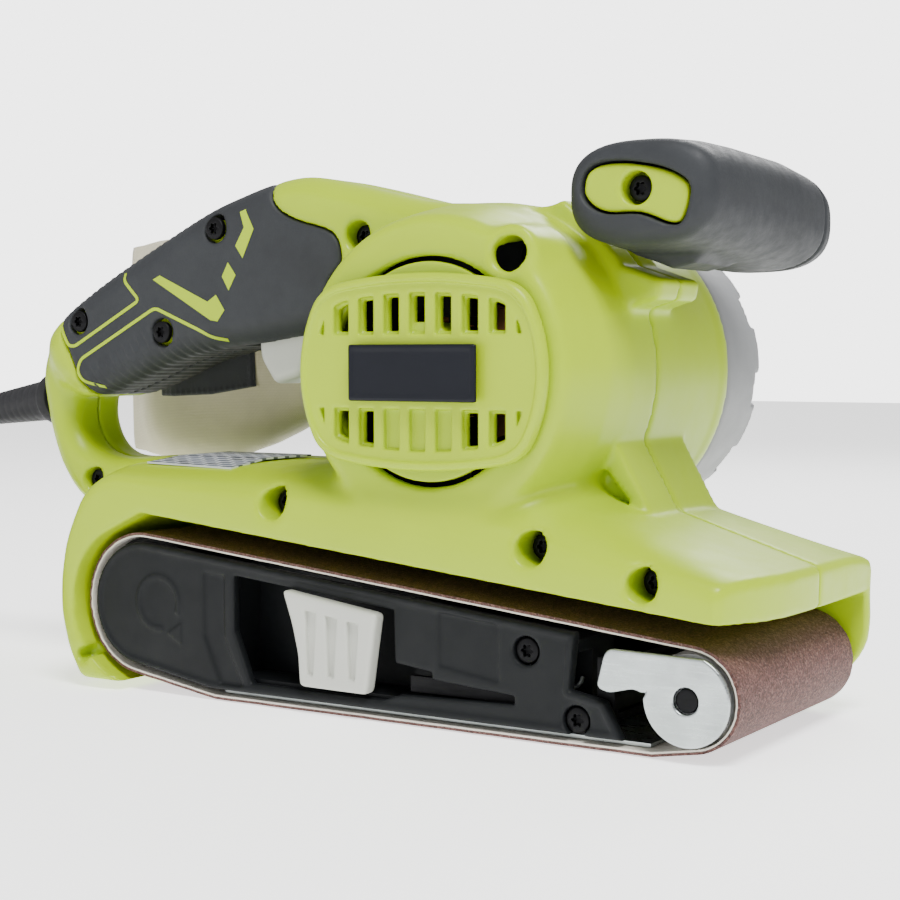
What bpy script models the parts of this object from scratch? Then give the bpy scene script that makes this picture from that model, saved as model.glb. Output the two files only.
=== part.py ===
"""Handheld belt sander, 76.2 x 457.2 mm belt, corded.

Frame: +X forward, +Y to the operator's left (drive side), +Z up.  The origin is on the sole plane, the
underside of the belt's flat run, midway between the two rollers and at the middle of the belt's width.
"""

import math

import bmesh
import bpy
from mathutils import Vector

MM = 0.001
GAP = 0.3

# ---- driving dimensions, millimetres -------------------------------------------------------------
BELT_HALF = 38.1
BELT_THICK = 1.2
REAR_X, REAR_Z, REAR_R = -87.3, 25.2, 20.8
FRONT_X, FRONT_Z, FRONT_R = 87.3, 15.0, 13.2
PLATEN_REAR, PLATEN_FRONT = -60.0, 77.5

PART_Y = 4.0
NEAR_Y, FAR_Y = -43.0, 45.0
TUNNEL_FAR = 41.0

MOTOR_X, MOTOR_Z = 13.2, 93.2
BARREL_R = 45.0
CAVITY_R = 41.0
BARREL_NEAR, BARREL_FAR = -40.0, 49.7
CAP_FAR = 80.0
VENT_R = 30.0

HANDLE_HALF = 17.5
LEG_HALF = 13.5
GRIP_SKIN = 3.4
GRIP_STEP = -62.0

SHAFT_R = 4.0
DRUM_SHAFT_R = 5.0
SMALL_PULLEY_R = 9.5
LARGE_PULLEY_R = 15.5
PULLEY_Y = (56.0, 72.0)
DRIVE_END_R = 22.6
WELL_R = 4.4
GUARD_WELL_R = 2.9

LEVER_PIVOT = (-4.0, -37.2)
TRIGGER_PIVOT = (-50.5, 107.5)
LOCK_BUTTON = (-66.0, 118.0)
TRACKING = (72.0, 24.0)

PORT_Y, PORT_Z = 36.7, 98.0
PORT_R = 10.4
COLLAR_R = 12.8

CORD_D = 7.0
COIL_X, COIL_Y = -254.0, -46.0
COIL_RADII = (27.6, 49.4)
COIL_TOP = 29.2

# Route of the cord from the strain relief's tip down to the coil's top lane.
CORD_ROUTE = [
    (-205.3, 4.0, 77.2),
    (-213.9, 4.4, 74.7),
    (-221.4, 5.8, 70.0),
    (-227.4, 7.8, 63.4),
    (-231.3, 9.8, 55.4),
    (-233.8, 11.8, 47.6),
    (-238.3, 14.2, 38.7),
    (-245.4, 16.1, 31.6),
    (-254.3, 14.6, 27.1),
    (-261.0, 10.9, 25.7),
    (-266.2, 6.2, 25.5),
]
# Route of the free end from the coil's bottom lane to the plug.
TAIL_ROUTE = [
    (-217.0, -83.5, 3.7),
    (-212.2, -82.2, 4.3),
    (-207.4, -80.9, 6.1),
    (-202.6, -79.6, 8.6),
    (-197.7, -78.3, 10.8),
    (-192.9, -77.0, 11.9),
    (-188.0, -75.7, 12.2),
]


# ---- scene and material helpers ------------------------------------------------------------------
def clear_scene():
    for item in list(bpy.data.objects):
        bpy.data.objects.remove(item, do_unlink=True)


MATERIALS = {
    "lime": ((0.50, 0.58, 0.05), 0.45, 0.0),
    "grip": ((0.06, 0.065, 0.07), 0.8, 0.0),
    "black": ((0.02, 0.022, 0.022), 0.6, 0.0),
    "grey": ((0.26, 0.26, 0.26), 0.6, 0.0),
    "light_grey": ((0.52, 0.53, 0.48), 0.5, 0.0),
    "steel": ((0.60, 0.66, 0.66), 0.3, 1.0),
    "aluminium": ((0.62, 0.62, 0.64), 0.4, 1.0),
    "copper": ((0.55, 0.25, 0.12), 0.4, 1.0),
    "abrasive": ((0.16, 0.07, 0.06), 0.95, 0.0),
    "rubber": ((0.03, 0.03, 0.03), 0.9, 0.0),
    "cloth": ((0.65, 0.62, 0.50), 0.9, 0.0),
    "cork": ((0.35, 0.22, 0.12), 0.95, 0.0),
    "brass": ((0.70, 0.52, 0.22), 0.35, 1.0),
}


def paint(thing, key):
    """Give an object its own Principled material."""
    colour, rough, metal = MATERIALS[key]
    material = bpy.data.materials.new(thing.name + "_" + key)
    material.use_nodes = True
    shader = material.node_tree.nodes["Principled BSDF"]
    shader.inputs["Base Color"].default_value = (*colour, 1.0)
    shader.inputs["Roughness"].default_value = rough
    shader.inputs["Metallic"].default_value = metal
    thing.data.materials.append(material)


def finish(name, bm, key=None, origin=None):
    """Turn a bmesh in millimetres into an object in metres; no material key makes it a cutter."""
    bmesh.ops.recalc_face_normals(bm, faces=bm.faces)
    centre = Vector(origin or (0.0, 0.0, 0.0))
    for vert in bm.verts:
        vert.co = (vert.co - centre) * MM
    mesh = bpy.data.meshes.new(name)
    bm.to_mesh(mesh)
    bm.free()
    mesh.shade_smooth()
    mesh.set_sharp_from_angle(angle=math.radians(35))
    thing = bpy.data.objects.new(name, mesh)
    thing.location = centre * MM
    bpy.context.scene.collection.objects.link(thing)
    if key:
        paint(thing, key)
    else:
        thing.hide_render = True
        thing.display_type = "WIRE"
    return thing


def combine(thing, operation, *cutters):
    for cutter in cutters:
        modifier = thing.modifiers.new(operation.lower(), "BOOLEAN")
        modifier.operation = operation
        modifier.solver = "EXACT"
        modifier.object = cutter
    return thing


def cut(thing, *cutters):
    return combine(thing, "DIFFERENCE", *cutters)


def join(thing, *others):
    return combine(thing, "UNION", *others)


# ---- outline helpers -----------------------------------------------------------------------------
def arc(cx, cy, r, start, end, steps):
    """Points on an arc, angles in degrees, both ends included."""
    turn = [math.radians(start + (end - start) * i / steps) for i in range(steps + 1)]
    return [(cx + r * math.cos(a), cy + r * math.sin(a)) for a in turn]


def rounded(points, radius, steps=3):
    """Round the corners of a polygon."""
    result = []
    count = len(points)
    for i, point in enumerate(points):
        here = Vector(point)
        before = (Vector(points[i - 1]) - here)
        after = (Vector(points[(i + 1) % count]) - here)
        reach = min(radius, before.length * 0.45, after.length * 0.45)
        start = here + before.normalized() * reach
        end = here + after.normalized() * reach
        for k in range(steps + 1):
            t = k / steps
            bend = start * (1 - t) ** 2 + here * 2 * t * (1 - t) + end * t * t
            result.append((bend.x, bend.y))
    return result


def wrap(first, second, grow=0.0, steps=10):
    """Outline of a belt round two circles (x, z, r), walked round both."""
    (ax, az, ar), (bx, bz, br) = first, second
    ar, br = ar + grow, br + grow
    heading = math.degrees(math.atan2(bz - az, bx - ax))
    tilt = math.degrees(math.acos((ar - br) / math.hypot(bx - ax, bz - az)))
    left = arc(ax, az, ar, heading + tilt, heading + 360 - tilt, steps)
    right = arc(bx, bz, br, heading - tilt, heading + tilt, steps)
    return left + right


def belt_loop(grow=0.0):
    """Outer outline of the sanding belt: round drum, small front roller, flat run over the platen."""
    rear_r, front_r = REAR_R + grow, FRONT_R + grow
    drop_rear = math.degrees(math.atan2(REAR_Z - REAR_R, PLATEN_REAR - REAR_X))
    drop_front = math.degrees(math.atan2(FRONT_Z - FRONT_R, FRONT_X - PLATEN_FRONT))
    slope = math.degrees(math.atan2(REAR_Z - FRONT_Z, FRONT_X - REAR_X))
    lean = math.degrees(math.asin((REAR_R - FRONT_R) / math.hypot(FRONT_X - REAR_X, REAR_Z - FRONT_Z)))
    top = 90 - slope - lean
    rear = arc(REAR_X, REAR_Z, rear_r, top, 270 - drop_rear, 14)
    front = arc(FRONT_X, FRONT_Z, front_r, -90 + drop_front, top, 12)
    return rear + [(PLATEN_REAR, -grow), (PLATEN_FRONT, -grow)] + front


# ---- solid helpers -------------------------------------------------------------------------------
def add_prism(bm, outline, y0, y1):
    near = [bm.verts.new((x, y0, z)) for x, z in outline]
    far = [bm.verts.new((x, y1, z)) for x, z in outline]
    bm.faces.new(near)
    bm.faces.new(far)
    for i in range(len(outline)):
        k = (i + 1) % len(outline)
        bm.faces.new((near[i], near[k], far[k], far[i]))


def prism(name, outline, y0, y1, key=None, origin=None):
    bm = bmesh.new()
    add_prism(bm, outline, y0, y1)
    return finish(name, bm, key, origin)


def ring_prism(name, outer, inner, y0, y1, key=None, origin=None):
    """Prism with a hole: two outlines with the same number of points."""
    bm = bmesh.new()
    loops = []
    for outline, y in ((outer, y0), (outer, y1), (inner, y1), (inner, y0)):
        loops.append([bm.verts.new((x, y, z)) for x, z in outline])
    for a, b in zip(loops, loops[1:] + loops[:1]):
        for i in range(len(outer)):
            k = (i + 1) % len(outer)
            bm.faces.new((a[i], a[k], b[k], b[i]))
    return finish(name, bm, key, origin)


def box(name, x, y, z, key=None, origin=None):
    corners = [(x[0], z[0]), (x[1], z[0]), (x[1], z[1]), (x[0], z[1])]
    return prism(name, corners, y[0], y[1], key, origin)


def sections(name, rings, key=None, origin=None):
    """Skin a stack of closed rings of 3-D points and cap both ends."""
    bm = bmesh.new()
    loops = [[bm.verts.new(p) for p in ring] for ring in rings]
    bm.faces.new(loops[0])
    bm.faces.new(loops[-1])
    for a, b in zip(loops, loops[1:]):
        for i in range(len(a)):
            k = (i + 1) % len(a)
            bm.faces.new((a[i], a[k], b[k], b[i]))
    bmesh.ops.connect_verts_nonplanar(bm, angle_limit=0.0005, faces=bm.faces)
    return finish(name, bm, key, origin)


def turned(name, profile, start, axis, steps, key=None, origin=None):
    """Solid of revolution: profile of (distance along the axis, radius), open ends are capped."""
    direction = Vector(axis).normalized()
    side = direction.cross(Vector((0, 0, 1)))
    if side.length < 0.1:
        side = Vector((1, 0, 0))
    side.normalize()
    other = direction.cross(side)
    rings = []
    for along, radius in profile:
        centre = Vector(start) + direction * along
        ring = []
        for i in range(steps):
            a = 2 * math.pi * i / steps
            ring.append(centre + (side * math.cos(a) + other * math.sin(a)) * radius)
        rings.append(ring)
    return sections(name, rings, key, origin)


def tube(name, outer, inner, start, axis, length, steps, key=None, origin=None):
    """Plain ring: outer and inner radius."""
    bm = bmesh.new()
    direction = Vector(axis).normalized()
    side = direction.cross(Vector((0, 0, 1)))
    if side.length < 0.1:
        side = Vector((1, 0, 0))
    side.normalize()
    other = direction.cross(side)
    loops = []
    for radius, along in ((outer, 0), (outer, length), (inner, length), (inner, 0)):
        centre = Vector(start) + direction * along
        turn = [2 * math.pi * i / steps for i in range(steps)]
        ring = [centre + (side * math.cos(a) + other * math.sin(a)) * radius for a in turn]
        loops.append([bm.verts.new(point) for point in ring])
    for a, b in zip(loops, loops[1:] + loops[:1]):
        for i in range(steps):
            k = (i + 1) % steps
            bm.faces.new((a[i], a[k], b[k], b[i]))
    return finish(name, bm, key, origin)


def along_y(name, profile, x, z, steps, key=None, origin=None):
    """Turned solid about a line along Y: profile of (y, radius)."""
    return turned(name, profile, (x, 0, z), (0, 1, 0), steps, key, origin)


# ---- housing -------------------------------------------------------------------------------------
def skirt_edge(x):
    """Height of the housing's lower edge above the belt's upper run."""
    return 33.9 + 0.102 * (96.0 - x)


def deck_ridge(x):
    """Height of the deck along its middle."""
    if x < -45:
        return 66.5
    if x < 45:
        return 68.0
    return 56.3 - 0.318 * (x - 65.0)


SECTIONS = [
    # y, ridge share, rear x, front x, front x low down
    (NEAR_Y, 0.0, -115.0, 96.5, 96.5),
    (-41.5, 0.28, -117.0, 98.5, 98.5),
    (-33.0, 0.74, -119.5, 101.0, 101.0),
    (-14.0, 1.0, -121.5, 103.5, 103.5),
    (PART_Y, 1.0, -122.0, 104.0, 104.0),
    (20.0, 1.0, -121.5, 102.5, 103.5),
    (33.0, 0.74, -119.5, 99.5, 104.5),
    (42.0, 0.28, -117.0, 96.5, 105.5),
    (FAR_Y, 0.0, -115.0, 94.5, 104.5),
]


def base_section(y, share, rear, front, low_front):
    """Side outline of the base at one station across the width."""
    def top(x):
        low = skirt_edge(x) + 7.5
        return low + share * (deck_ridge(x) - low)

    outline = [(rear + 8, 2.2), (rear + 3, 10), (rear, 21), (rear, 31), (rear + 2, 42), (rear + 6, 50)]
    outline.append((rear + 12, top(rear + 12) - 1.5))
    outline += [(x, top(x)) for x in (-96.0, -70.0, -45.1, -20.0, 20.0, 45.1, 75.0)]
    outline += [(front - 3, top(front)), (front, top(front) - 2), (low_front - 1, 32), (low_front, 25)]
    outline += [(low_front - 1.5, 17), (low_front - 8, 9), (80, 2.2)]
    return [(x, y, z) for x, z in outline]


def base_solid(name, near_side):
    wanted = [s for s in SECTIONS if (s[0] <= PART_Y if near_side else s[0] >= PART_Y)]
    rows = []
    for y, *shape in wanted:
        if y == PART_Y:
            y += -GAP / 2 if near_side else GAP / 2
        rows.append(base_section(y, *shape))
    return sections(name, rows, "lime")


def tunnel(name):
    """Space that the belt unit stands in."""
    rear = arc(REAR_X, REAR_Z, REAR_R + 2.3, 118, 262, 10)
    outline = rear + [(-80, -20), (140, -20), (140, skirt_edge(140)), (-84, skirt_edge(-84))]
    return prism(name, outline, NEAR_Y - 20, TUNNEL_FAR)


HANDLE_BAR = [
    (24, 137.2), (-8, 140.6), (-34, 147.0), (-48, 149.6), (-60, 148.3), (-72, 145.2), (-87, 140.2),
    (-112, 128.6), (-130, 119.6), (-147, 109.5), (-153, 102), (-150, 92), (-140, 84.6), (-130, 85.0),
    (-114, 90.0), (-99, 95.8), (-82, 99.4), (-66, 101.0), (-52, 103.4), (-40, 105), (-25, 96), (13, 92),
]
HANDLE_LEG = [
    (-138, 113), (-150, 106.8), (-156.5, 100), (-158.6, 92), (-157.0, 83), (-154.4, 71), (-149.5, 59),
    (-139, 49.5), (-118, 42), (-98, 48), (-98, 62), (-126, 64.2), (-136, 66.5), (-141.8, 72), (-143.4, 80),
    (-139, 88), (-128, 96),
]
GRIP_REGION = [
    (-63, 152), (-56, 140.4), (-50, 137), (-35, 132), (-33, 122), (-37.5, 120.5), (-41, 112), (-46, 97),
    (-66, 88), (-95, 80), (-122, 74), (-133.5, 86), (-139, 96), (-144.5, 107), (-152, 118), (-130, 144),
    (-80, 164),
]


def inset_handle(depth):
    """The handle's upper bar, shrunk on its upper and lower side."""
    upper = [(-150, 108), (-131, 118.6), (-112, 127.6), (-87, 139.2), (-72, 144.2), (-56, 146.4)]
    lower = [(-56, 102.8), (-66, 101.6), (-82, 100.2), (-99, 96.6), (-114, 91.0), (-138, 82)]
    shift = [(x + 0.45 * depth, z - 0.9 * depth) for x, z in upper]
    lift = [(x - 0.25 * depth, z + 0.97 * depth) for x, z in lower]
    return shift + lift


def shrink(outline, depth):
    """Move every corner of an outline inwards; the outline runs anticlockwise in the X-Z plane."""
    result = []
    count = len(outline)
    for i, point in enumerate(outline):
        here = Vector(point)
        before = (here - Vector(outline[i - 1])).normalized()
        after = (Vector(outline[(i + 1) % count]) - here).normalized()
        normal = Vector((-(before.y + after.y), before.x + after.x))
        normal.normalize()
        moved = here + normal * depth / max(0.6, normal.dot(Vector((-before.y, before.x))))
        result.append((moved.x, moved.y))
    return result


def pillow(name, outline, near_side, half, key=None):
    """Half of a bar with rounded outer edges, from the parting plane to its side face."""
    inner, outer, way = side_values(near_side, half)
    rows = []
    for back, depth in ((None, 0.0), (6.5, 0.0), (3.2, 1.1), (1.1, 3.0), (0.0, 5.8)):
        y = inner if back is None else outer - way * back
        rows.append([(x, y, z) for x, z in shrink(outline, depth)])
    return sections(name, rows, key)


def side_values(near_side, half=None):
    """Inner (parting) and outer handle faces of one half, and the direction from one to the other."""
    half = half or HANDLE_HALF
    way = -1 if near_side else 1
    return PART_Y + way * GAP / 2, PART_Y + way * half, way


def housing_half(near_side):
    tag = "right" if near_side else "left"
    inner, outer, way = side_values(near_side)
    shell = base_solid("housing_" + tag, near_side)

    if near_side:
        barrel_profile = [
            (inner, BARREL_R), (-10, BARREL_R), (-22, 44.5), (-30, 42.6), (-37.5, 40.6), (-39.3, 39.6),
        ]
        barrel_profile.append((BARREL_NEAR, 38.0))
        cavity_profile = [(inner + 20, CAVITY_R), (-22, CAVITY_R), (BARREL_NEAR + 3.6, 38.0)]
    else:
        barrel_profile = [(inner, BARREL_R), (BARREL_FAR, BARREL_R)]
        cavity_profile = [(inner - 20, CAVITY_R), (BARREL_FAR - 5.5, CAVITY_R)]
    barrel = along_y("cut_barrel_" + tag, barrel_profile, MOTOR_X, MOTOR_Z, 48)
    cavity = along_y("cut_cavity_" + tag, cavity_profile, MOTOR_X, MOTOR_Z, 40)

    handle = pillow("cut_handle_" + tag, HANDLE_BAR, near_side, HANDLE_HALF)
    leg = pillow("cut_leg_" + tag, HANDLE_LEG, near_side, LEG_HALF)

    stalk_outline = [
        (14, 128), (28, 136.6), (37, 138.9), (44.6, 131.2), (52.8, 121.2), (65.0, 116.8), (65, 112), (50, 108),
    ]
    reach = outer + way * -5
    stalk = prism("cut_stalk_" + tag, stalk_outline, inner, reach)
    brace_outline = [(40, 80), (54, 76), (64.5, 55.9), (70, 50), (40, 50)]
    brace = prism("cut_brace_" + tag, brace_outline, inner, -13 if near_side else 28)

    join(shell, barrel, handle, leg, stalk, brace)
    cut(shell, tunnel("cut_tunnel_" + tag), cavity)

    # The grip overmould lies in a recess; behind it the handle goes on as a smaller core.
    recess = prism("cut_recess_" + tag, GRIP_REGION, outer + way * 30, outer - way * (GRIP_SKIN + GAP))
    band = [(GRIP_STEP, 84), (GRIP_STEP, 150)] + [p for p in reversed(GRIP_REGION) if p[0] < -64]
    band_cut = prism("cut_band_" + tag, band, outer + way * 30, inner - way * 5)
    core = prism("cut_core_" + tag, inset_handle(GRIP_SKIN + GAP), inner, outer - way * (GRIP_SKIN + GAP))
    cut(shell, recess, band_cut)
    join(shell, core)

    # Room for the switch and the wires, open at the parting plane.
    hollow_outline = [
        (-128, 98), (-86, 122), (-70, 133), (-50, 136), (-44, 128), (-44, 112), (-70, 108.4), (-98, 105),
    ]
    hollow = prism("cut_hollow_" + tag, hollow_outline, inner - way * 5, outer - way * 7.2)
    duct_outline = [(-127, 99), (-154, 97), (-154, 80), (-146, 78), (-138, 90)]
    duct = prism("cut_duct_" + tag, duct_outline, inner - way * 5, inner + way * 7)
    cut(shell, hollow, duct)
    slot_outline = [(-74.5, 90), (-49, 90), (-45, 113), (-72, 112)]
    slot = prism("cut_slot_" + tag, slot_outline, PART_Y - 9.6, PART_Y + 9.6)
    cut(shell, slot)
    gland = along_x("cut_gland_" + tag, -165, -145, PART_Y, 83.6, 7.6, 20)
    cut(shell, gland)

    if near_side:
        boss = along_y("cut_top_boss", [(-33, 6.4), (-22.5, 6.4)], 37.5, 123.0, 16)
        join(shell, boss)
        vent = along_y("cut_vent", [(-50, VENT_R), (-30, VENT_R)], MOTOR_X, MOTOR_Z, 40)
        cut(shell, vent)
        for name, x, y, z, depth in NEAR_SCREWS:
            width = GUARD_WELL_R if name == "drum_guard" else WELL_R
            well = along_y("cut_well_" + name, [(y - 12, width), (y + depth, width)], x, z, 14)
            cut(shell, well)
    else:
        plate = prism("cut_plate", wrap((MOTOR_X, MOTOR_Z, BARREL_R), (REAR_X, REAR_Z, DRIVE_END_R), 0, 16),
                      FAR_Y - 0.1, BARREL_FAR)
        join(shell, plate)
        seat = along_y("cut_seat", [(42, 12.0 + GAP), (60, 12.0 + GAP)], MOTOR_X, MOTOR_Z, 28)
        drum_seat = along_y("cut_drum_seat", [(39, 13.0 + GAP), (60, 13.0 + GAP)], REAR_X, REAR_Z, 28)
        port = along_x("cut_port", -70, -20, PORT_Y, PORT_Z, PORT_R + GAP, 24)
        knob = along_y("cut_knob", [(38, 3.3), (60, 3.3)], TRACKING[0], TRACKING[1], 14)
        lock = along_y("cut_lock", [(8, 5.4), (40, 5.4)], LOCK_BUTTON[0], LOCK_BUTTON[1], 16)
        relief = along_x("cut_collar_relief", -80, -43, PORT_Y, PORT_Z, COLLAR_R + 2 * GAP, 24)
        cut(shell, seat, drum_seat, port, knob, lock, relief)
    return shell


def along_x(name, x0, x1, y, z, radius, steps, key=None, origin=None):
    return turned(name, [(0, radius), (x1 - x0, radius)], (x0, y, z), (1, 0, 0), steps, key, origin)


# name, x, y of the surface round the recess, z, depth of the recess
NEAR_SCREWS = [
    ("handle_front", -27.5, -13.5, 131.2, 7.5),
    ("barrel_top", 37.5, -30.0, 123.0, 5.6),
    ("deck_rear", -36.0, -40.0, 57.0, 16.0),
    ("deck_front", 45.5, -43.0, 49.2, 16.0),
    ("nose", 76.5, -43.0, 42.2, 16.0),
    ("leg_foot", -134.0, -9.5, 58.0, 6.0),
    ("drum_guard", -108.6, -41.0, 8.8, 7.0),
]
GRIP_SCREWS = [
    ("grip_front", -79.5, -13.5, 135.2, 5.2),
    ("grip_middle", -100.8, -13.5, 104.6, 5.2),
    ("grip_rear", -136.0, -12.5, 108.2, 4.4),
]


def screw(name, x, y, z, key="steel"):
    """Pan-head screw lying along Y, head at y, pointing inwards."""
    profile = [(y, 1.6), (y, 3.2), (y + 2.2, 3.4), (y + 2.2, 1.7), (y + 3.2, 1.7)]
    return along_y("screw_" + name, profile, x, z, 12, key)


def screws():
    for name, x, y, z, depth in NEAR_SCREWS[:-1]:
        screw(name, x, y + depth - 3.2 - GAP, z)
    for name, x, y, z, depth in GRIP_SCREWS:
        screw(name, x, y - 0.6, z)
    for i, (x, z) in enumerate(FRAME_SCREWS):
        screw("frame_%d" % (i + 1), x, -37.6, z)


# ---- grip overmoulds -----------------------------------------------------------------------------
def grip_half(near_side):
    tag = "right" if near_side else "left"
    inner, outer, way = side_values(near_side)
    skin = pillow("grip_" + tag, HANDLE_BAR, near_side, HANDLE_HALF, "grip")
    middle = Vector((-90, 115))
    spokes = [Vector(p) - middle for p in GRIP_REGION]
    trimmed = [tuple(middle + spoke * (1 - GAP / spoke.length)) for spoke in spokes]
    region = prism("cut_region_" + tag, trimmed, -60, 60)
    combine(skin, "INTERSECT", region)
    core = prism("cut_grip_core_" + tag, inset_handle(GRIP_SKIN), inner - way * 10, outer - way * GRIP_SKIN)
    cut(skin, core)
    edge = GRIP_STEP - GAP
    front_core = [(edge, 60), (edge, 160), (0, 160), (0, 60)]
    front = prism("cut_grip_front_" + tag, front_core, inner - way * 10, outer - way * GRIP_SKIN)
    slot_outline = [(-75, 80), (-40, 80), (-44, 113), (-73, 112)]
    slot = prism("cut_grip_slot_" + tag, slot_outline, PART_Y - 10, PART_Y + 10)
    cut(skin, front, slot)
    if near_side:
        for name, x, y, z, depth in GRIP_SCREWS:
            well = along_y("cut_well_" + name, [(y - 10, 4.2), (y + depth, 4.2)], x, z, 14)
            cut(skin, well)
    else:
        lock = along_y("cut_grip_lock", [(8, 5.4), (40, 5.4)], LOCK_BUTTON[0], LOCK_BUTTON[1], 16)
        cut(skin, lock)
    return skin


def front_grip():
    """Auxiliary grip across the nose: overmould with a neck, and the insert in its near end."""
    stations = [
        (-26.5, 66.5, 138.2, 18.4, 11.2), (-24.5, 66.6, 138.2, 20.6, 13.2), (0, 68.0, 137.2, 21.2, 14.4),
        (24, 69.4, 135.8, 21.4, 14.6), (40, 70.3, 134.2, 20.8, 13.8), (47, 70.7, 133.4, 17.6, 11.2),
        (49.5, 70.8, 133.0, 12.0, 7.0),
    ]
    rings = []
    for y, x, z, half_x, half_z in stations:
        ring = []
        for i in range(20):
            a = 2 * math.pi * i / 20
            across = math.copysign(abs(math.cos(a)) ** 0.7, math.cos(a))
            up = math.copysign(abs(math.sin(a)) ** 0.8, math.sin(a))
            ring.append((x + half_x * across, y, z + half_z * up))
        rings.append(ring)
    body = sections("front_grip", rings, "grip")
    neck_outline = [(50.4, 132.0), (57.2, 123.6), (67.4, 119.6), (73.5, 121.0), (82, 130), (56, 136)]
    neck = prism("cut_neck", neck_outline, -8, 16)
    join(body, neck)
    pocket_outline = rounded([
        (50.8, 139.5), (52.0, 143.4), (56, 145.6), (67, 145.2), (78.6, 141.2), (81, 138.6),
        (78.2, 129.6), (74.6, 129.9), (67.2, 132.4), (55, 132.8),
    ], 3, 1)
    pocket = prism("cut_pocket", pocket_outline, -40, -16)
    cut(body, pocket)
    middle = Vector((66.5, 138.3))
    small = [tuple(middle + (Vector(p) - middle) * 0.97) for p in pocket_outline]
    insert = prism("front_grip_insert", small, -25.2, -16.4, "lime")
    hole = along_y("cut_insert_hole", [(-40, 4.4), (-19.5, 4.4)], 66.0, 139.0, 14)
    cut(insert, hole)
    screw("front_grip", 66.0, -22.9, 139.0)


# ---- motor end cover and badge -------------------------------------------------------------------
def bezel_outline(radius, half_height):
    """Disc cut by two shallow arches."""
    top = []
    reach = math.degrees(math.asin(half_height * 0.9 / radius))
    right = arc(MOTOR_X, MOTOR_Z, radius, -reach, reach, 8)
    left = arc(MOTOR_X, MOTOR_Z, radius, 180 - reach, 180 + reach, 8)
    span = radius * math.cos(math.radians(reach)) * 0.86
    for share in (0.9, 0.45, 0.0, -0.45, -0.9):
        top.append((MOTOR_X + share * span, MOTOR_Z + half_height * (1 - 0.1 * share * share)))
    bottom = [(2 * MOTOR_X - x, 2 * MOTOR_Z - z) for x, z in top]
    return right + top + left + bottom


def motor_cover():
    plate = prism("motor_cover", bezel_outline(38.0, 25.5), -45.6, BARREL_NEAR - GAP, "lime")
    boss = along_y("cut_boss", [(-44, 14.5), (-27.5, 14.5)], MOTOR_X, MOTOR_Z, 24)
    seat = along_y("cut_near_seat", [(-34.3, 11.0 + GAP), (-20, 11.0 + GAP)], MOTOR_X, MOTOR_Z, 24)
    shaft = along_y("cut_near_shaft", [(-40, 5.5), (-20, 5.5)], MOTOR_X, MOTOR_Z, 16)
    join(plate, boss)
    cut(plate, seat, shaft)
    for i in range(7):
        x = MOTOR_X - 24 + 8.0 * i
        height = 6.4 - 0.22 * (i - 3) ** 2
        upper = box("cut_upper_%d" % i, (x - 2.3, x + 2.3), (-50, -30), (104.2, 104.2 + height))
        lower = box("cut_lower_%d" % i, (x - 2.3, x + 2.3), (-50, -30), (82.6 - height, 82.6))
        cut(plate, upper)
        if i in (0, 1, 5, 6):
            cut(plate, lower)
    badge_outline = rounded([(-6.5, 85.6), (32.6, 85.6), (32.6, 100.4), (-6.5, 100.4)], 1.6, 2)
    prism("badge_plate", badge_outline, -47.2, -45.6 - GAP, "black")


# ---- drive-belt cover ----------------------------------------------------------------------------
def belt_cover():
    steps = 18
    motor = (MOTOR_X, MOTOR_Z, 44.6)
    drum = (REAR_X, REAR_Z, DRIVE_END_R)
    near_y = BARREL_FAR + GAP
    rows = []
    for y, grow in ((near_y, 0.0), (CAP_FAR - 2.0, -1.6), (CAP_FAR, -3.6)):
        rows.append([(x, y, z) for x, z in wrap(motor, drum, grow, steps)])
    cover = sections("drive_belt_cover", rows, "grey")
    space = prism("cut_cover_space", wrap(motor, drum, -3.0, steps), near_y - 5, CAP_FAR - 2.6)
    cut(cover, space)
    for i in range(5):
        angle = math.radians(-40 + 32 * i)
        centre = Vector((MOTOR_X + 42 * math.cos(angle), MOTOR_Z + 42 * math.sin(angle)))
        notch = box("cut_notch_%d" % i, (-4.5, 4.5), (CAP_FAR - 6, CAP_FAR + 5), (-4.6, 4.6))
        notch.location = (centre.x * MM, 0, centre.y * MM)
        notch.rotation_euler = (0, -angle, 0)
        cut(cover, notch)
    for i in range(4):
        x = MOTOR_X - 18 + 12 * i
        slot = box("cut_cover_slot_%d" % i, (x - 2.5, x + 2.5), (CAP_FAR - 8, CAP_FAR + 5), (78, 108))
        cut(cover, slot)


# ---- belt unit -----------------------------------------------------------------------------------
FRAME_SCREWS = [(42.0, 22.8), (56.5, 6.6)]


def sanding_belt():
    ring_prism("sanding_belt", belt_loop(0.0), belt_loop(-BELT_THICK), -BELT_HALF, BELT_HALF, "abrasive")


def run_height(x, inset):
    """Underside of the belt's upper run, lowered by an inset."""
    slope = (REAR_Z + REAR_R - FRONT_Z - FRONT_R) / (FRONT_X - REAR_X)
    return FRONT_Z + FRONT_R - BELT_THICK - inset + slope * (FRONT_X - x)


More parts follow.
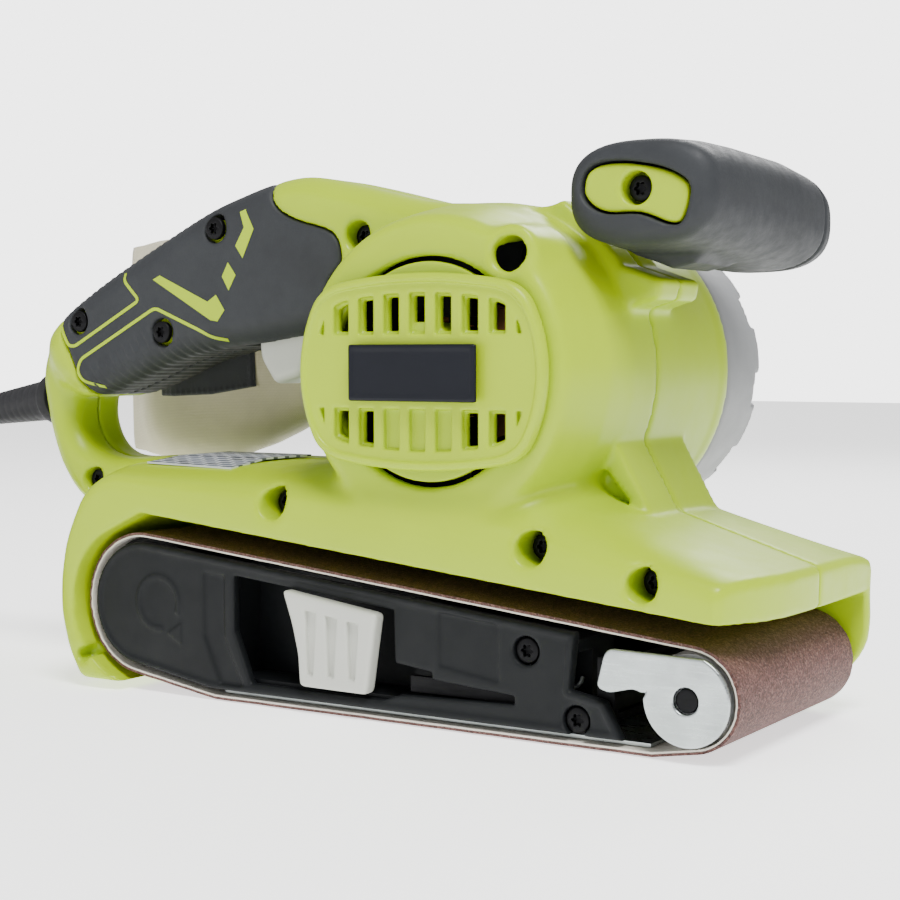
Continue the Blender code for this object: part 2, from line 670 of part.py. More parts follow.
def side_frame():
    inset = 1.6
    rear = arc(REAR_X, REAR_Z, REAR_R - BELT_THICK - inset, 86, 255, 12)
    low = BELT_THICK + inset
    outline = rear + [(-62, low), (69.5, low), (64.3, 12.2), (54.6, 14.0), (56.2, run_height(56.2, inset))]
    plate = prism("side_frame", outline, -38.0, -35.0, "black")
    pocket_outline = [
        (-53, 35.6), (1.4, 30.1), (1.8, 16.0), (13.5, 14.6), (13.5, 11.5), (-2.0, 5.6), (-47, 5.6),
    ]
    pocket_outline.append((-53, 20))
    pocket = prism("cut_frame_pocket", pocket_outline, -50, -30)
    slot = box("cut_frame_slot", (4, 38), (-50, -30), (8.8, 10.8))
    boss = along_y("cut_frame_boss", [(-36, 4.6), (-29, 4.6)], REAR_X, REAR_Z, 14)
    join(plate, boss)
    cut(plate, pocket, slot)
    for i, (x, z) in enumerate(FRAME_SCREWS):
        cut(plate, along_y("cut_frame_screw_%d" % i, [(-50, 3.8), (-20, 3.8)], x, z, 12))


def base_frame():
    front = 55.5
    outline = [(-58, 5.0), (front, 5.0), (front, run_height(front, 4)), (-58, run_height(-58, 4))]
    frame = prism("base_frame", outline, -34.6, TUNNEL_FAR - GAP, "aluminium")
    pocket = prism("cut_base_pocket", [(-56, 38), (1.5, 33), (1.5, 6.5), (-56, 6.5)], -60, -22)
    channel = box("cut_base_channel", (0, 70), (-60, -27.4), (7.2, 23.2))
    for i, (x, z) in enumerate(FRAME_SCREWS):
        cut(frame, along_y("cut_base_screw_%d" % i, [(-50, 3.8), (-33, 3.8)], x, z, 12))
    cut(frame, pocket, channel)
    for i in range(3):
        x = -38 + 34 * i
        well = box("cut_base_well_%d" % i, (x, x + 26), (-16, 34), (10, 60))
        cut(frame, well)


def platen():
    box("platen_plate", (PLATEN_REAR + 1, PLATEN_FRONT - 2), (-34.5, 36), (1.5, 2.4), "steel")
    box("platen_pad", (PLATEN_REAR + 2, 57), (-34.3, 36), (2.7, 4.7), "cork")


def rollers():
    drum_r = REAR_R - BELT_THICK - GAP
    centre = (REAR_X, 0, REAR_Z)
    drum = along_y("rear_drum", [(-34.5, drum_r - 0.8), (-33.5, drum_r), (36, drum_r), (37, drum_r - 0.8)],
                   REAR_X, REAR_Z, 36, "rubber", centre)
    bore = along_y("cut_drum_bore", [(-60, DRUM_SHAFT_R + GAP), (60, DRUM_SHAFT_R + GAP)], REAR_X, REAR_Z, 20)
    cut(drum, bore)
    along_y("drum_shaft", [(-28.5, DRUM_SHAFT_R), (76, DRUM_SHAFT_R)], REAR_X, REAR_Z, 18, "steel", centre)
    tube("drum_bearing", 13.0, DRUM_SHAFT_R + GAP, (REAR_X, 41.4, REAR_Z), (0, 1, 0), 7.6, 24, "steel")
    roller_r = FRONT_R - BELT_THICK - GAP
    centre = (FRONT_X, 0, FRONT_Z)
    roller = along_y("front_roller", [(-36.5, roller_r - 0.8), (-35, roller_r - 0.2), (0, roller_r),
                                      (35, roller_r - 0.2), (36.5, roller_r - 0.8)], FRONT_X, FRONT_Z, 30,
                     "aluminium", centre)
    bore = along_y("cut_roller_bore", [(-60, 3.3), (60, 3.3)], FRONT_X, FRONT_Z, 16)
    cut(roller, bore)
    along_y("roller_axle", [(-38.4, 3.0), (38.2, 3.0)], FRONT_X, FRONT_Z, 14, "steel")


def roller_yoke():
    """Steel yoke: hook-shaped near arm, cross bar inside the belt, far arm."""
    head = arc(FRONT_X, FRONT_Z, 11.4, -172, 74, 12)
    hook = [(86.5, 26.6), (65.2, 25.6), (63.4, 15.6), (72.4, 16.2), (75.6, 16.8)]
    near = prism("roller_yoke", head + hook, -40.2, -38.7, "steel")
    bar = box("cut_yoke_bar", (65.6, 70.6), (-40.0, 40.0), (17.4, 22.4))
    arm_outline = rounded([(63, 12), (80, 8), (94, 8), (94, 22), (80, 24), (63, 24)], 4, 2)
    far = prism("cut_yoke_far", arm_outline, 38.5, 40.2)
    join(near, bar, far)
    cut(near, along_y("cut_yoke_hole", [(-60, 3.3), (-20, 3.3)], FRONT_X, FRONT_Z, 16))


def tension_parts():
    pivot_x, pivot_y = LEVER_PIVOT
    origin = (pivot_x, pivot_y, 18.0)
    outline = [(-34, 33.4), (-2.2, 29.0), (-5.6, 7.0), (-28, 7.2), (-28.6, 16), (-30.6, 24)]
    lever = prism("tension_lever", outline, -41.2, -36.0, "light_grey", origin)
    for i in range(3):
        x = -25.5 + 7.2 * i
        shape = [(x, 27.8 - i), (x + 3.4, 27.4 - i), (x + 1.4, 11.4), (x - 1.0, 11.4)]
        groove = prism("cut_lever_groove_%d" % i, shape, -50, -40.2)
        cut(lever, groove)
    link = box("tension_link", (4.5, 65.3), (-34.2, -32.2), (8.2, 12.4), "steel")
    tab = box("cut_link_tab", (60.5, 65.3), (-34.2, -30.5), (12, 22.3))
    join(link, tab)
    tension_spring()


def tension_spring():
    """Compression spring between the base frame and the yoke, drawn as a swept wire."""
    turns, wire, coil = 7, 0.6, 2.4
    rear, front = 26.0, 53.4
    steps = turns * 10
    curve = wire_curve("tension_spring", wire, 1, "steel")
    points = []
    for i in range(steps + 1):
        a = 2 * math.pi * turns * i / steps
        along = rear + (front - rear) * i / steps
        points.append(Vector((along, -30.9 + coil * math.cos(a), 16.0 + coil * math.sin(a))))
    lay_points(curve, points)


def wire_curve(name, radius, resolution, key):
    curve = bpy.data.curves.new(name, "CURVE")
    curve.dimensions = "3D"
    curve.bevel_depth = radius * MM
    curve.bevel_resolution = resolution
    curve.use_fill_caps = True
    thing = bpy.data.objects.new(name, curve)
    bpy.context.scene.collection.objects.link(thing)
    paint(thing, key)
    return curve


def lay_points(curve, points):
    spline = curve.splines.new("POLY")
    spline.points.add(len(points) - 1)
    for slot, point in zip(spline.points, points):
        slot.co = (*(point * MM), 1)


def tracking_knob():
    x, z = TRACKING
    profile = [(40.6, 3.0), (45.4, 3.0), (45.4, 9.0), (54.0, 9.0), (55.0, 8.0)]
    along_y("tracking_knob", profile, x, z, 20, "black", (x, 48, z))


# ---- motor and drive -----------------------------------------------------------------------------
def motor():
    centre = (MOTOR_X, 0, MOTOR_Z)
    tube("stator", CAVITY_R - 0.5, 26.0, (MOTOR_X, -12, MOTOR_Z), (0, 1, 0), 38, 32, "steel")
    profile = [
        (-33.8, SHAFT_R), (-27.0, SHAFT_R), (-27.0, 12.0), (-16.0, 12.0), (-16.0, 8.0), (-14.0, 19.0), (-8.0, 21.0),
        (-8.0, 25.0), (22.0, 25.0), (22.0, 21.0), (28.0, 18.0), (28.5, SHAFT_R), (75.0, SHAFT_R),
    ]
    along_y("armature", profile, MOTOR_X, MOTOR_Z, 28, "copper", centre)
    fan_profile = [(31, 10), (31, 38), (33, 38), (33, 12), (40, 12), (40, 10)]
    fan = along_y("cooling_fan", fan_profile, MOTOR_X, MOTOR_Z, 32,
                  "black", centre)
    for i in range(8):
        blade = box("cut_blade_%d" % i, (11, 37), (32.5, 40.5), (-0.9, 0.9))
        blade.location = (MOTOR_X * MM, 0, MOTOR_Z * MM)
        blade.rotation_euler = (0, math.radians(45 * i + 10), 0)
        join(fan, blade)
    cut(fan, along_y("cut_fan_bore", [(0, SHAFT_R + GAP), (60, SHAFT_R + GAP)], MOTOR_X, MOTOR_Z, 16))
    tube("motor_bearing_near", 11.0, SHAFT_R + GAP, (MOTOR_X, -34.0, MOTOR_Z), (0, 1, 0), 6.0, 22, "steel")
    tube("motor_bearing_far", 12.0, SHAFT_R + GAP, (MOTOR_X, 44.4, MOTOR_Z), (0, 1, 0), 5.0, 22, "steel")
    brush_ring = tube("brush_ring", CAVITY_R - 0.5, 22.0, (MOTOR_X, -20.0, MOTOR_Z), (0, 1, 0), 3.0, 32, "black")
    for tag, sign in (("upper", 1), ("lower", -1)):
        z = sorted((MOTOR_Z + sign * 14.5, MOTOR_Z + sign * 36))
        holder = box("cut_holder_" + tag, (MOTOR_X - 5, MOTOR_X + 5), (-25.5, -16.5), z)
        channel = box("cut_channel_" + tag, (MOTOR_X - 3.3, MOTOR_X + 3.3), (-24.3, -17.7), (z[0] - 5, z[1] + 5))
        join(brush_ring, holder)
        cut(brush_ring, channel)
        z = sorted((MOTOR_Z + sign * (12.0 + GAP), MOTOR_Z + sign * 30))
        box("carbon_brush_" + tag, (MOTOR_X - 3, MOTOR_X + 3), (-24, -18), z, "black")


def pulley(name, x, z, radius, bore, key):
    y0, y1 = PULLEY_Y
    profile = [(y0 - 1.5, radius + 1.5), (y0, radius + 1.5), (y0, radius), (y1, radius), (y1, radius + 1.5)]
    profile.append((y1 + 1.5, radius + 1.5))
    wheel = along_y(name, profile, x, z, 30, key, (x, 0, z))
    return cut(wheel, along_y("cut_bore_" + name, [(40, bore), (90, bore)], x, z, 16))


def drive():
    pulley("small_pulley", MOTOR_X, MOTOR_Z, SMALL_PULLEY_R, SHAFT_R + GAP, "steel")
    pulley("large_pulley", REAR_X, REAR_Z, LARGE_PULLEY_R, DRUM_SHAFT_R + GAP, "aluminium")
    ends = ((MOTOR_X, MOTOR_Z, SMALL_PULLEY_R), (REAR_X, REAR_Z, LARGE_PULLEY_R))
    y0, y1 = PULLEY_Y
    ring_prism("drive_belt", wrap(*ends, 2.3), wrap(*ends, 2 * GAP), y0 + 0.5, y1 - 0.5, "rubber")


# ---- switch, trigger, cord -----------------------------------------------------------------------
def controls():
    body_outline = [(-76, 113.6), (-50, 115.0), (-50, 131), (-66, 131), (-76, 125)]
    prism("switch_body", body_outline, PART_Y - 8, PART_Y + 8, "black")
    px, pz = TRIGGER_PIVOT
    outline = [
        (-70.6, 101.6), (-70.2, 96.6), (-64.6, 88.6), (-54.4, 91.4), (-51.6, 101.4), (-48.2, 106), (-50, 110),
        (-53, 110), (-70.0, 107),
    ]
    prism("trigger", outline, PART_Y - 8.6, PART_Y + 8.6, "light_grey", (px, PART_Y, pz))
    x, z = LOCK_BUTTON
    along_y("lock_on_button", [(16.0, 4.9), (24.6, 4.9), (25.6, 4.0)], x, z, 18, "black", (x, 20, z))


def cord():
    relief_dir = Vector((-0.99, 0, -0.137))
    start = Vector((-152.0, PART_Y, 84.6))
    profile = [(0, 6.6), (5.0, 6.6), (8.2, 7.1), (8.4, 8.4), (12, 8.4), (14, 6.9), (30, 5.6), (53.4, 4.4)]
    turned("strain_relief", profile, start, relief_dir, 18, "rubber")
    for name, route in (("power_cord", CORD_ROUTE), ("cord_tail", TAIL_ROUTE)):
        lay_points(wire_curve(name, CORD_D / 2, 2, "rubber"), smooth_route(route))
    inner, outer = COIL_RADII
    tube("cord_coil", outer, inner, (COIL_X, COIL_Y, 0.0), (0, 0, 1), COIL_TOP, 36, "rubber")


def smooth_route(route):
    """Catmull-Rom curve through the route's points, read every few millimetres."""
    points = [Vector(p) for p in route]
    points = [points[0] * 2 - points[1]] + points + [points[-1] * 2 - points[-2]]
    result = []
    for a, b, c, d in zip(points, points[1:], points[2:], points[3:]):
        for k in range(2):
            t = k / 2
            result.append(((b * 2) + (c - a) * t + (a * 2 - b * 5 + c * 4 - d) * t ** 2
                           + (b * 3 - a - c * 3 + d) * t ** 3) / 2)
    result.append(points[-2])
    return result


def plug():
    """Two-blade plug lying at the free end, modelled along +X and turned into place."""
    tip = Vector(TAIL_ROUTE[-1])
    heading = Vector(TAIL_ROUTE[-1]) - Vector(TAIL_ROUTE[-2])
    angle = math.atan2(heading.y, heading.x)
    profile = [(GAP, 4.6), (9, 5.6), (12, 11.2), (27, 11.8), (30, 10.6)]
    body = turned("plug_body", profile, (0, 0, 0), (1, 0, 0), 18, "black")
    blades = box("plug_blades", (20, 22), (-7, 7), (-0.8, 0.8), "brass")
    room = box("cut_plug_room", (20 - GAP, 60), (-7.4, 7.4), (-3.3, 3.3))
    pieces = [body, blades, room]
    for side in (-1, 1):
        blade = box("cut_blade_side_%d" % side, (21, 47), (side * 6.3 - 0.8, side * 6.3 + 0.8), (-3, 3))
        join(blades, blade)
        pieces.append(blade)
    cut(body, room)
    for piece in pieces:
        piece.location = tip * MM
        piece.rotation_euler = (0, 0, angle)


# ---- dust collection -----------------------------------------------------------------------------
def dust_parts():
    along_y_to_x = (-1, 0, 0)
    port = along_x("dust_port", -61.0, -26.6, PORT_Y, PORT_Z, PORT_R, 24, "black")
    cut(port, along_x("cut_port_bore", -80, -10, PORT_Y, PORT_Z, PORT_R - 1.8, 24))
    start = (-44.0, PORT_Y, PORT_Z)
    tube("bag_collar", COLLAR_R, PORT_R + GAP, start, along_y_to_x, 18.0, 24, "black", start)
    stations = [
        # x, middle y, middle z, half width, half height
        (-62.4, 36.7, 98.0, 10.5, 10.5), (-71.0, 40.0, 98.0, 14.0, 16.0), (-90.0, 46.5, 97.5, 20.0, 25.0),
        (-115.0, 50.5, 97.5, 24.5, 32.0), (-140.0, 52.5, 98.0, 26.5, 36.0), (-160.0, 52.5, 99.5, 24.5, 35.5),
        (-172.0, 52.5, 101.0, 18.0, 29.0), (-177.0, 52.5, 101.5, 10.0, 18.0),
    ]
    rings = []
    for x, y, z, half_y, half_z in stations:
        turn = [2 * math.pi * i / 20 for i in range(20)]
        rings.append([(x, y + half_y * math.cos(a), z + half_z * math.sin(a)) for a in turn])
    sections("dust_bag", rings, "cloth", start)


def deck_height(x, y):
    """Height of the deck's surface, read from the base sections."""
    low = skirt_edge(x) + 7.5
    for (y0, share0, *_), (y1, share1, *_) in zip(SECTIONS, SECTIONS[1:]):
        if y0 <= y <= y1:
            share = share0 + (share1 - share0) * (y - y0) / (y1 - y0)
            return low + share * (deck_ridge(x) - low)
    return low


def sticker():
    """Blank rating plate that follows the deck."""
    rings = []
    for y in (-30.0, -14.0, 8.0):
        row = [(x, y, deck_height(x, y) + 0.45) for x in (-92.0, -60.0)]
        row += [(x, y, z + 0.5) for x, y, z in reversed(row)]
        rings.append(row)
    sections("deck_label", rings, "grey")


def build():
    clear_scene()
    housing_half(True)
    housing_half(False)
    grip_half(True)
    grip_half(False)
    front_grip()
    motor_cover()
    belt_cover()
    sanding_belt()
    side_frame()
    base_frame()
    platen()
    rollers()
    roller_yoke()
    tension_parts()
    tracking_knob()
    motor()
    drive()
    controls()
    cord()
    plug()
    dust_parts()
    sticker()
    screws()


build()
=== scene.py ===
"""Handheld belt sander: the visible model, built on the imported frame."""

import math

import bmesh
import bpy
import numpy as np
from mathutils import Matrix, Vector


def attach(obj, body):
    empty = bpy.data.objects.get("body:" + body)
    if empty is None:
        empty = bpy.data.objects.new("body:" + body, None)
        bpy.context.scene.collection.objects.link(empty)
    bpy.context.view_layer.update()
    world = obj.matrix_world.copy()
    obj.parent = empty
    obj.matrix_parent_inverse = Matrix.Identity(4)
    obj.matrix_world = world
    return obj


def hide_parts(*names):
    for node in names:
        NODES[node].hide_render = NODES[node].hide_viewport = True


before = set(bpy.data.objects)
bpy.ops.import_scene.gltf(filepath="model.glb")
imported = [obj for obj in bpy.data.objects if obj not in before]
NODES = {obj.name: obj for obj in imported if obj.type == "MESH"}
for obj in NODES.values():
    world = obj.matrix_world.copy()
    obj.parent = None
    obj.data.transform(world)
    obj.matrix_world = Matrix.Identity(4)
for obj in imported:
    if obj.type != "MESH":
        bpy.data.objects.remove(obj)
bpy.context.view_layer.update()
MM = 0.001


def grid_step(full):
    return full


# ---- dimensions, millimetres ---------------------------------------------------------------------
PART_Y = 4.0
NEAR_Y, FAR_Y = -43.0, 45.0
TUNNEL_FAR = 41.0
GAP = 0.3
REAR = (-87.3, 25.2, 20.8)
FRONT = (87.3, 15.0, 13.2)
PLATEN = (-60.0, 77.5)
BELT_HALF = 38.1
BELT_THICK = 1.2
MOTOR = (13.2, 93.2)
BARREL_R = 45.0
VENT_R = 30.0
HANDLE_HALF = 17.5
LEG_HALF = 13.5
GRIP_SKIN = 3.4
DRIVE_END_R = 22.6
YOKE_BAR = (65.6, 70.6, 17.4, 22.4)
GRIP_RING_Y = 39.5
PORT = (36.7, 98.0)


# ---- camera --------------------------------------------------------------------------------------
def make_camera():
    azimuth, elevation = math.radians(32.627), math.radians(3.096)
    target = Vector((-4.91, 0.0, 70.65)) * MM
    back = Vector((math.sin(azimuth) * math.cos(elevation), -math.cos(azimuth) * math.cos(elevation),
                   math.sin(elevation)))
    data = bpy.data.cameras.new("camera")
    data.lens = 71.43
    data.sensor_width = 36.0
    data.clip_start = 0.01
    camera = bpy.data.objects.new("camera", data)
    bpy.context.scene.collection.objects.link(camera)
    camera.location = target + back * 0.50605
    turn = (-back).to_track_quat("-Z", "Y").to_euler()
    turn.rotate_axis("Z", math.radians(-0.08))
    camera.rotation_euler = turn
    bpy.context.scene.camera = camera


make_camera()


# ---- materials -----------------------------------------------------------------------------------
class Look:
    """A Principled material whose colour, roughness and bump come from procedural nodes."""

    def __init__(self, name, roughness, metallic=0.0, **sockets):
        self.material = bpy.data.materials.new(name)
        self.material.use_nodes = True
        self.tree = self.material.node_tree
        self.shader = self.tree.nodes["Principled BSDF"]
        self.shader.inputs["Roughness"].default_value = roughness
        self.shader.inputs["Metallic"].default_value = metallic
        for key, value in sockets.items():
            self.shader.inputs[key.replace("_", " ")].default_value = value
        self.where = self.tree.nodes.new("ShaderNodeTexCoord").outputs["Object"]
        self.bump_normal = None

    def node(self, kind, **values):
        made = self.tree.nodes.new(kind)
        for key, value in values.items():
            if hasattr(made, key):
                setattr(made, key, value)
            else:
                made.inputs[key.replace("_", " ")].default_value = value
        return made

    def link(self, source, target):
        self.tree.links.new(source, target)

    def stretched(self, scale):
        mapping = self.node("ShaderNodeMapping")
        mapping.inputs["Scale"].default_value = scale
        self.link(self.where, mapping.inputs["Vector"])
        return mapping.outputs["Vector"]

    def noise(self, scale, detail=3.0, rough=0.55, where=None, distortion=0.0):
        made = self.node("ShaderNodeTexNoise", Scale=scale, Detail=detail, Roughness=rough,
                         Distortion=distortion)
        self.link(where or self.where, made.inputs["Vector"])
        return made.outputs["Fac"]

    def ramp(self, source, stops):
        made = self.node("ShaderNodeValToRGB")
        ramp = made.color_ramp
        while len(ramp.elements) < len(stops):
            ramp.elements.new(0.5)
        for element, (place, colour) in zip(ramp.elements, stops):
            element.position = place
            element.color = colour if len(colour) == 4 else (*colour, 1.0)
        self.link(source, made.inputs["Fac"])
        return made.outputs["Color"]

    def colour(self, source):
        self.link(source, self.shader.inputs["Base Color"])
        return self

    def mix(self, kind, factor, first, second):
        made = self.node("ShaderNodeMix", data_type="RGBA", blend_type=kind)
        for socket, value in ((made.inputs["Factor"], factor), (made.inputs[6], first),
                              (made.inputs[7], second)):
            if hasattr(value, "is_linked"):
                self.link(value, socket)
            elif isinstance(value, tuple):
                socket.default_value = (*value, 1.0)
            else:
                socket.default_value = value
        return made.outputs[2]

    def spread(self, source, low, high):
        made = self.node("ShaderNodeMapRange")
        made.inputs["To Min"].default_value = low
        made.inputs["To Max"].default_value = high
        made.inputs["From Min"].default_value = 0.3
        made.inputs["From Max"].default_value = 0.7
        self.link(source, made.inputs["Value"])
        return made.outputs["Result"]

    def roughness(self, source, low, high):
        self.link(self.spread(source, low, high), self.shader.inputs["Roughness"])
        return self

    def bump(self, source, distance_mm, strength=1.0):
        made = self.node("ShaderNodeBump", Strength=strength, Distance=distance_mm * MM)
        self.link(source, made.inputs["Height"])
        if self.bump_normal is not None:
            self.link(self.bump_normal, made.inputs["Normal"])
        self.bump_normal = made.outputs["Normal"]
        self.link(self.bump_normal, self.shader.inputs["Normal"])
        return self

    def edges(self, low=0.42, high=0.6):
        """Worn-edge mask from the mesh's own curvature."""
        pointy = self.node("ShaderNodeNewGeometry").outputs["Pointiness"]
        made = self.node("ShaderNodeMapRange")
        made.inputs["From Min"].default_value = low
        made.inputs["From Max"].default_value = high
        self.link(pointy, made.inputs["Value"])
        return made.outputs["Result"]


def shade(colour, factor):
    return tuple(min(1.0, c * factor) for c in colour)


def moulded(name, colour, roughness=0.4, grain_mm=0.02, spread=0.06, coat=0.0):
    """Injection-moulded plastic: spark-eroded grain, faint flow marks, slightly uneven gloss."""
    look = Look(name, roughness)
    look.shader.inputs["Coat Weight"].default_value = coat
    look.shader.inputs["Coat Roughness"].default_value = 0.25
    flow = look.noise(22.0, 3.0)
    tint = look.ramp(flow, [(0.3, shade(colour, 1 - spread)), (0.7, shade(colour, 1 + spread))])
    look.colour(tint)
    look.roughness(look.noise(140.0, 4.0), roughness - 0.06, roughness + 0.07)
    look.bump(look.noise(2600.0, 2.0, 0.6), grain_mm, 0.5)
    return look


def soft_rubber(name, colour, roughness=0.62):
    """Overmoulded elastomer: fine stipple and a dusty bloom."""
    look = Look(name, roughness)
    bloom = look.noise(60.0, 5.0, 0.6)
    look.colour(look.ramp(bloom, [(0.3, shade(colour, 0.88)), (0.7, shade(colour, 1.14))]))
    look.roughness(look.noise(300.0, 3.0), roughness - 0.07, roughness + 0.08)
    stipple = look.node("ShaderNodeTexVoronoi", Scale=1500.0)
    look.link(look.where, stipple.inputs["Vector"])
    look.bump(stipple.outputs["Distance"], 0.05, 0.45)
    return look


def plated_steel(name, colour=(0.46, 0.50, 0.50), roughness=0.3):
    """Zinc plate over rolled steel: long rolling marks, cloudy patches, small scuffs."""
    look = Look(name, roughness, 1.0)
    cloudy = look.noise(90.0, 4.0, 0.6)
    look.colour(look.ramp(cloudy, [(0.3, shade(colour, 0.84)), (0.7, shade(colour, 1.1))]))
    rolled = look.noise(60.0, 6.0, 0.7, look.stretched((1.5, 14.0, 26.0)))
    look.roughness(rolled, roughness - 0.1, roughness + 0.14)
    look.bump(rolled, 0.02, 0.35)
    look.bump(look.noise(700.0, 4.0), 0.012, 0.4)
    return look


LIME = (0.36, 0.50, 0.0)
LOOKS = {
    "lime": moulded("lime_abs", LIME, 0.36, 0.016, 0.035, 0.03),
    "black": moulded("glass_filled_nylon", (0.006, 0.007, 0.008), 0.52, 0.05, 0.12),
    # Near-black steel: on the screws, the axle hole disc and the tension link this colour is painted shade
    # for dark holes and a dark slot; the yoke bar uses it too.
    "dark_steel_and_painted_shade": plated_steel("black_oxide_and_painted_shade", (0.016, 0.016, 0.017), 0.5),
    "badge": moulded("badge_enamel", (0.008, 0.009, 0.013), 0.35, 0.006, 0.1),
    "grey": moulded("grey_abs", (0.21, 0.215, 0.22), 0.5, 0.03, 0.06),
    "pale": moulded("pale_grey_abs", (0.50, 0.51, 0.46), 0.45, 0.02, 0.05),
    "grip": soft_rubber("grip_elastomer", (0.027, 0.029, 0.032), 0.55),
    "rubber": soft_rubber("black_rubber", (0.018, 0.018, 0.02), 0.6),
    "steel": plated_steel("zinc_plate"),
    "alloy": plated_steel("cast_alloy", (0.60, 0.60, 0.61), 0.42),
    "copper": plated_steel("varnished_copper", (0.62, 0.28, 0.13), 0.35),
    "brass": plated_steel("plain_brass", (0.75, 0.56, 0.24), 0.28),
}


for key, level in (("lime", 0.28), ("black", 0.18), ("grip", 0.2), ("rubber", 0.25), ("badge", 0.12)):
    LOOKS[key].shader.inputs["Specular IOR Level"].default_value = level


def abrasive_look():
    """Closed coat of brown grit on cloth: packed grains with pale and dark crystals."""
    look = Look("abrasive_grit", 0.8)
    grain = look.node("ShaderNodeTexVoronoi", Scale=2100.0, Randomness=1.0)
    look.link(look.where, grain.inputs["Vector"])
    speck = look.noise(3200.0, 2.0, 0.7)
    base = look.ramp(grain.outputs["Color"], [(0.1, (0.045, 0.016, 0.013)), (0.55, (0.10, 0.038, 0.031)),
                                              (0.95, (0.20, 0.10, 0.085))])
    glint = look.ramp(speck, [(0.62, (0.0, 0.0, 0.0)), (0.74, (0.28, 0.22, 0.19))])
    cloudy = look.ramp(look.noise(35.0, 3.0), [(0.3, (0.86, 0.86, 0.86)), (0.7, (1.08, 1.08, 1.08))])
    mixed = look.mix("ADD", 1.0, base, glint)
    look.colour(look.mix("MULTIPLY", 1.0, mixed, cloudy))
    look.roughness(speck, 0.55, 0.92)
    look.bump(grain.outputs["Distance"], 0.22, 0.9)
    look.bump(speck, 0.12, 0.6)
    return look


def cloth_look(name, colour, scale=620.0, dark=0.72):
    """Plain weave seen close: two crossed sets of threads with uneven yarn."""
    look = Look(name, 0.85)
    look.shader.inputs["Sheen Weight"].default_value = 0.25
    waves = []
    for direction in ("X", "Z"):
        wave = look.node("ShaderNodeTexWave", wave_type="BANDS", bands_direction=direction, Scale=scale,
                         Distortion=0.6, Detail=1.0)
        look.link(look.where, wave.inputs["Vector"])
        waves.append(wave.outputs["Color"])
    weave = look.mix("MULTIPLY", 1.0, waves[0], waves[1])
    soil = look.noise(40.0, 5.0, 0.6)
    base = look.ramp(soil, [(0.3, shade(colour, 0.86)), (0.7, shade(colour, 1.06))])
    threads = look.ramp(weave, [(0.0, (dark, dark, dark)), (0.6, (1.0, 1.0, 1.0))])
    look.colour(look.mix("MULTIPLY", 1.0, base, threads))
    look.bump(weave, 0.14, 0.6)
    look.bump(soil, 0.5, 0.25)
    return look


def label_look():
    """Silvery plate printed with a plain pattern of dark blocks, no lettering."""
    look = Look("printed_plate", 0.4)
    blocks = look.node("ShaderNodeTexBrick", Scale=92.0)
    blocks.inputs["Mortar Size"].default_value = 0.035
    blocks.inputs["Color1"].default_value = (0.03, 0.035, 0.05, 1.0)
    blocks.inputs["Color2"].default_value = (0.16, 0.18, 0.24, 1.0)
    blocks.inputs["Mortar"].default_value = (0.62, 0.64, 0.67, 1.0)
    look.link(look.where, blocks.inputs["Vector"])
    wear = look.ramp(look.noise(80.0, 4.0), [(0.3, (0.86, 0.86, 0.86)), (0.7, (1.0, 1.0, 1.0))])
    look.colour(look.mix("MULTIPLY", 1.0, blocks.outputs["Color"], wear))
    look.roughness(look.noise(200.0, 3.0), 0.3, 0.5)
    look.bump(look.noise(900.0, 3.0), 0.02, 0.4)
    return look


LOOKS["grit"] = abrasive_look()
LOOKS["label"] = label_look()
LOOKS["cloth"] = cloth_look("bag_weave", (0.62, 0.57, 0.38), 620.0, 0.82)
LOOKS["patch"] = cloth_look("patch_weave", (0.022, 0.024, 0.03), 900.0, 0.5)
LOOKS["backing"] = cloth_look("belt_backing", (0.84, 0.79, 0.68), 1400.0, 0.85)


def dress(thing, key):
    thing.data.materials.clear()
    thing.data.materials.append(LOOKS[key].material)


# ---- distance fields -----------------------------------------------------------------------------
def smin(a, b, k):
    h = np.maximum(k - np.abs(a - b), 0.0) / k
    return np.minimum(a, b) - h * h * k * 0.25


def smax(a, b, k):
    return -smin(-a, -b, k)


def poly_distance(outline, u, v):
    """Signed distance to a closed polygon, negative inside."""
    best = np.full(np.broadcast(u, v).shape, 1e18)
    sign = np.ones(best.shape, dtype=bool)
    count = len(outline)
    for i in range(count):
        ax, ay = outline[i]
        bx, by = outline[(i + 1) % count]
        ex, ey = bx - ax, by - ay
        wx, wy = u - ax, v - ay
        t = np.clip((wx * ex + wy * ey) / (ex * ex + ey * ey + 1e-12), 0.0, 1.0)
        best = np.minimum(best, (wx - ex * t) ** 2 + (wy - ey * t) ** 2)
        crossing = (ay <= v) != (by <= v)
        side = ex * (v - ay) - ey * (u - ax) if by > ay else ey * (u - ax) - ex * (v - ay)
        sign ^= crossing & (side > 0)
    return np.where(sign, 1.0, -1.0) * np.sqrt(best)


def curve_through(points, steps=5, closed=True):
    """Catmull-Rom curve through 2-D or 3-D points."""
    points = [np.array(p, dtype=float) for p in points]
    count = len(points)
    result = []
    spans = count if closed else count - 1
    for i in range(spans):
        if closed:
            a, b, c, d = (points[(i + k - 1) % count] for k in range(4))
        else:
            b, c = points[i], points[i + 1]
            a = points[i - 1] if i else 2 * b - c
            d = points[i + 2] if i + 2 < count else 2 * c - b
        for k in range(steps):
            t = k / steps
            result.append(tuple((2 * b + (c - a) * t + (2 * a - 5 * b + 4 * c - d) * t * t
                                 + (3 * b - a - 3 * c + d) * t ** 3) / 2))
    if not closed:
        result.append(tuple(points[-1]))
    return result


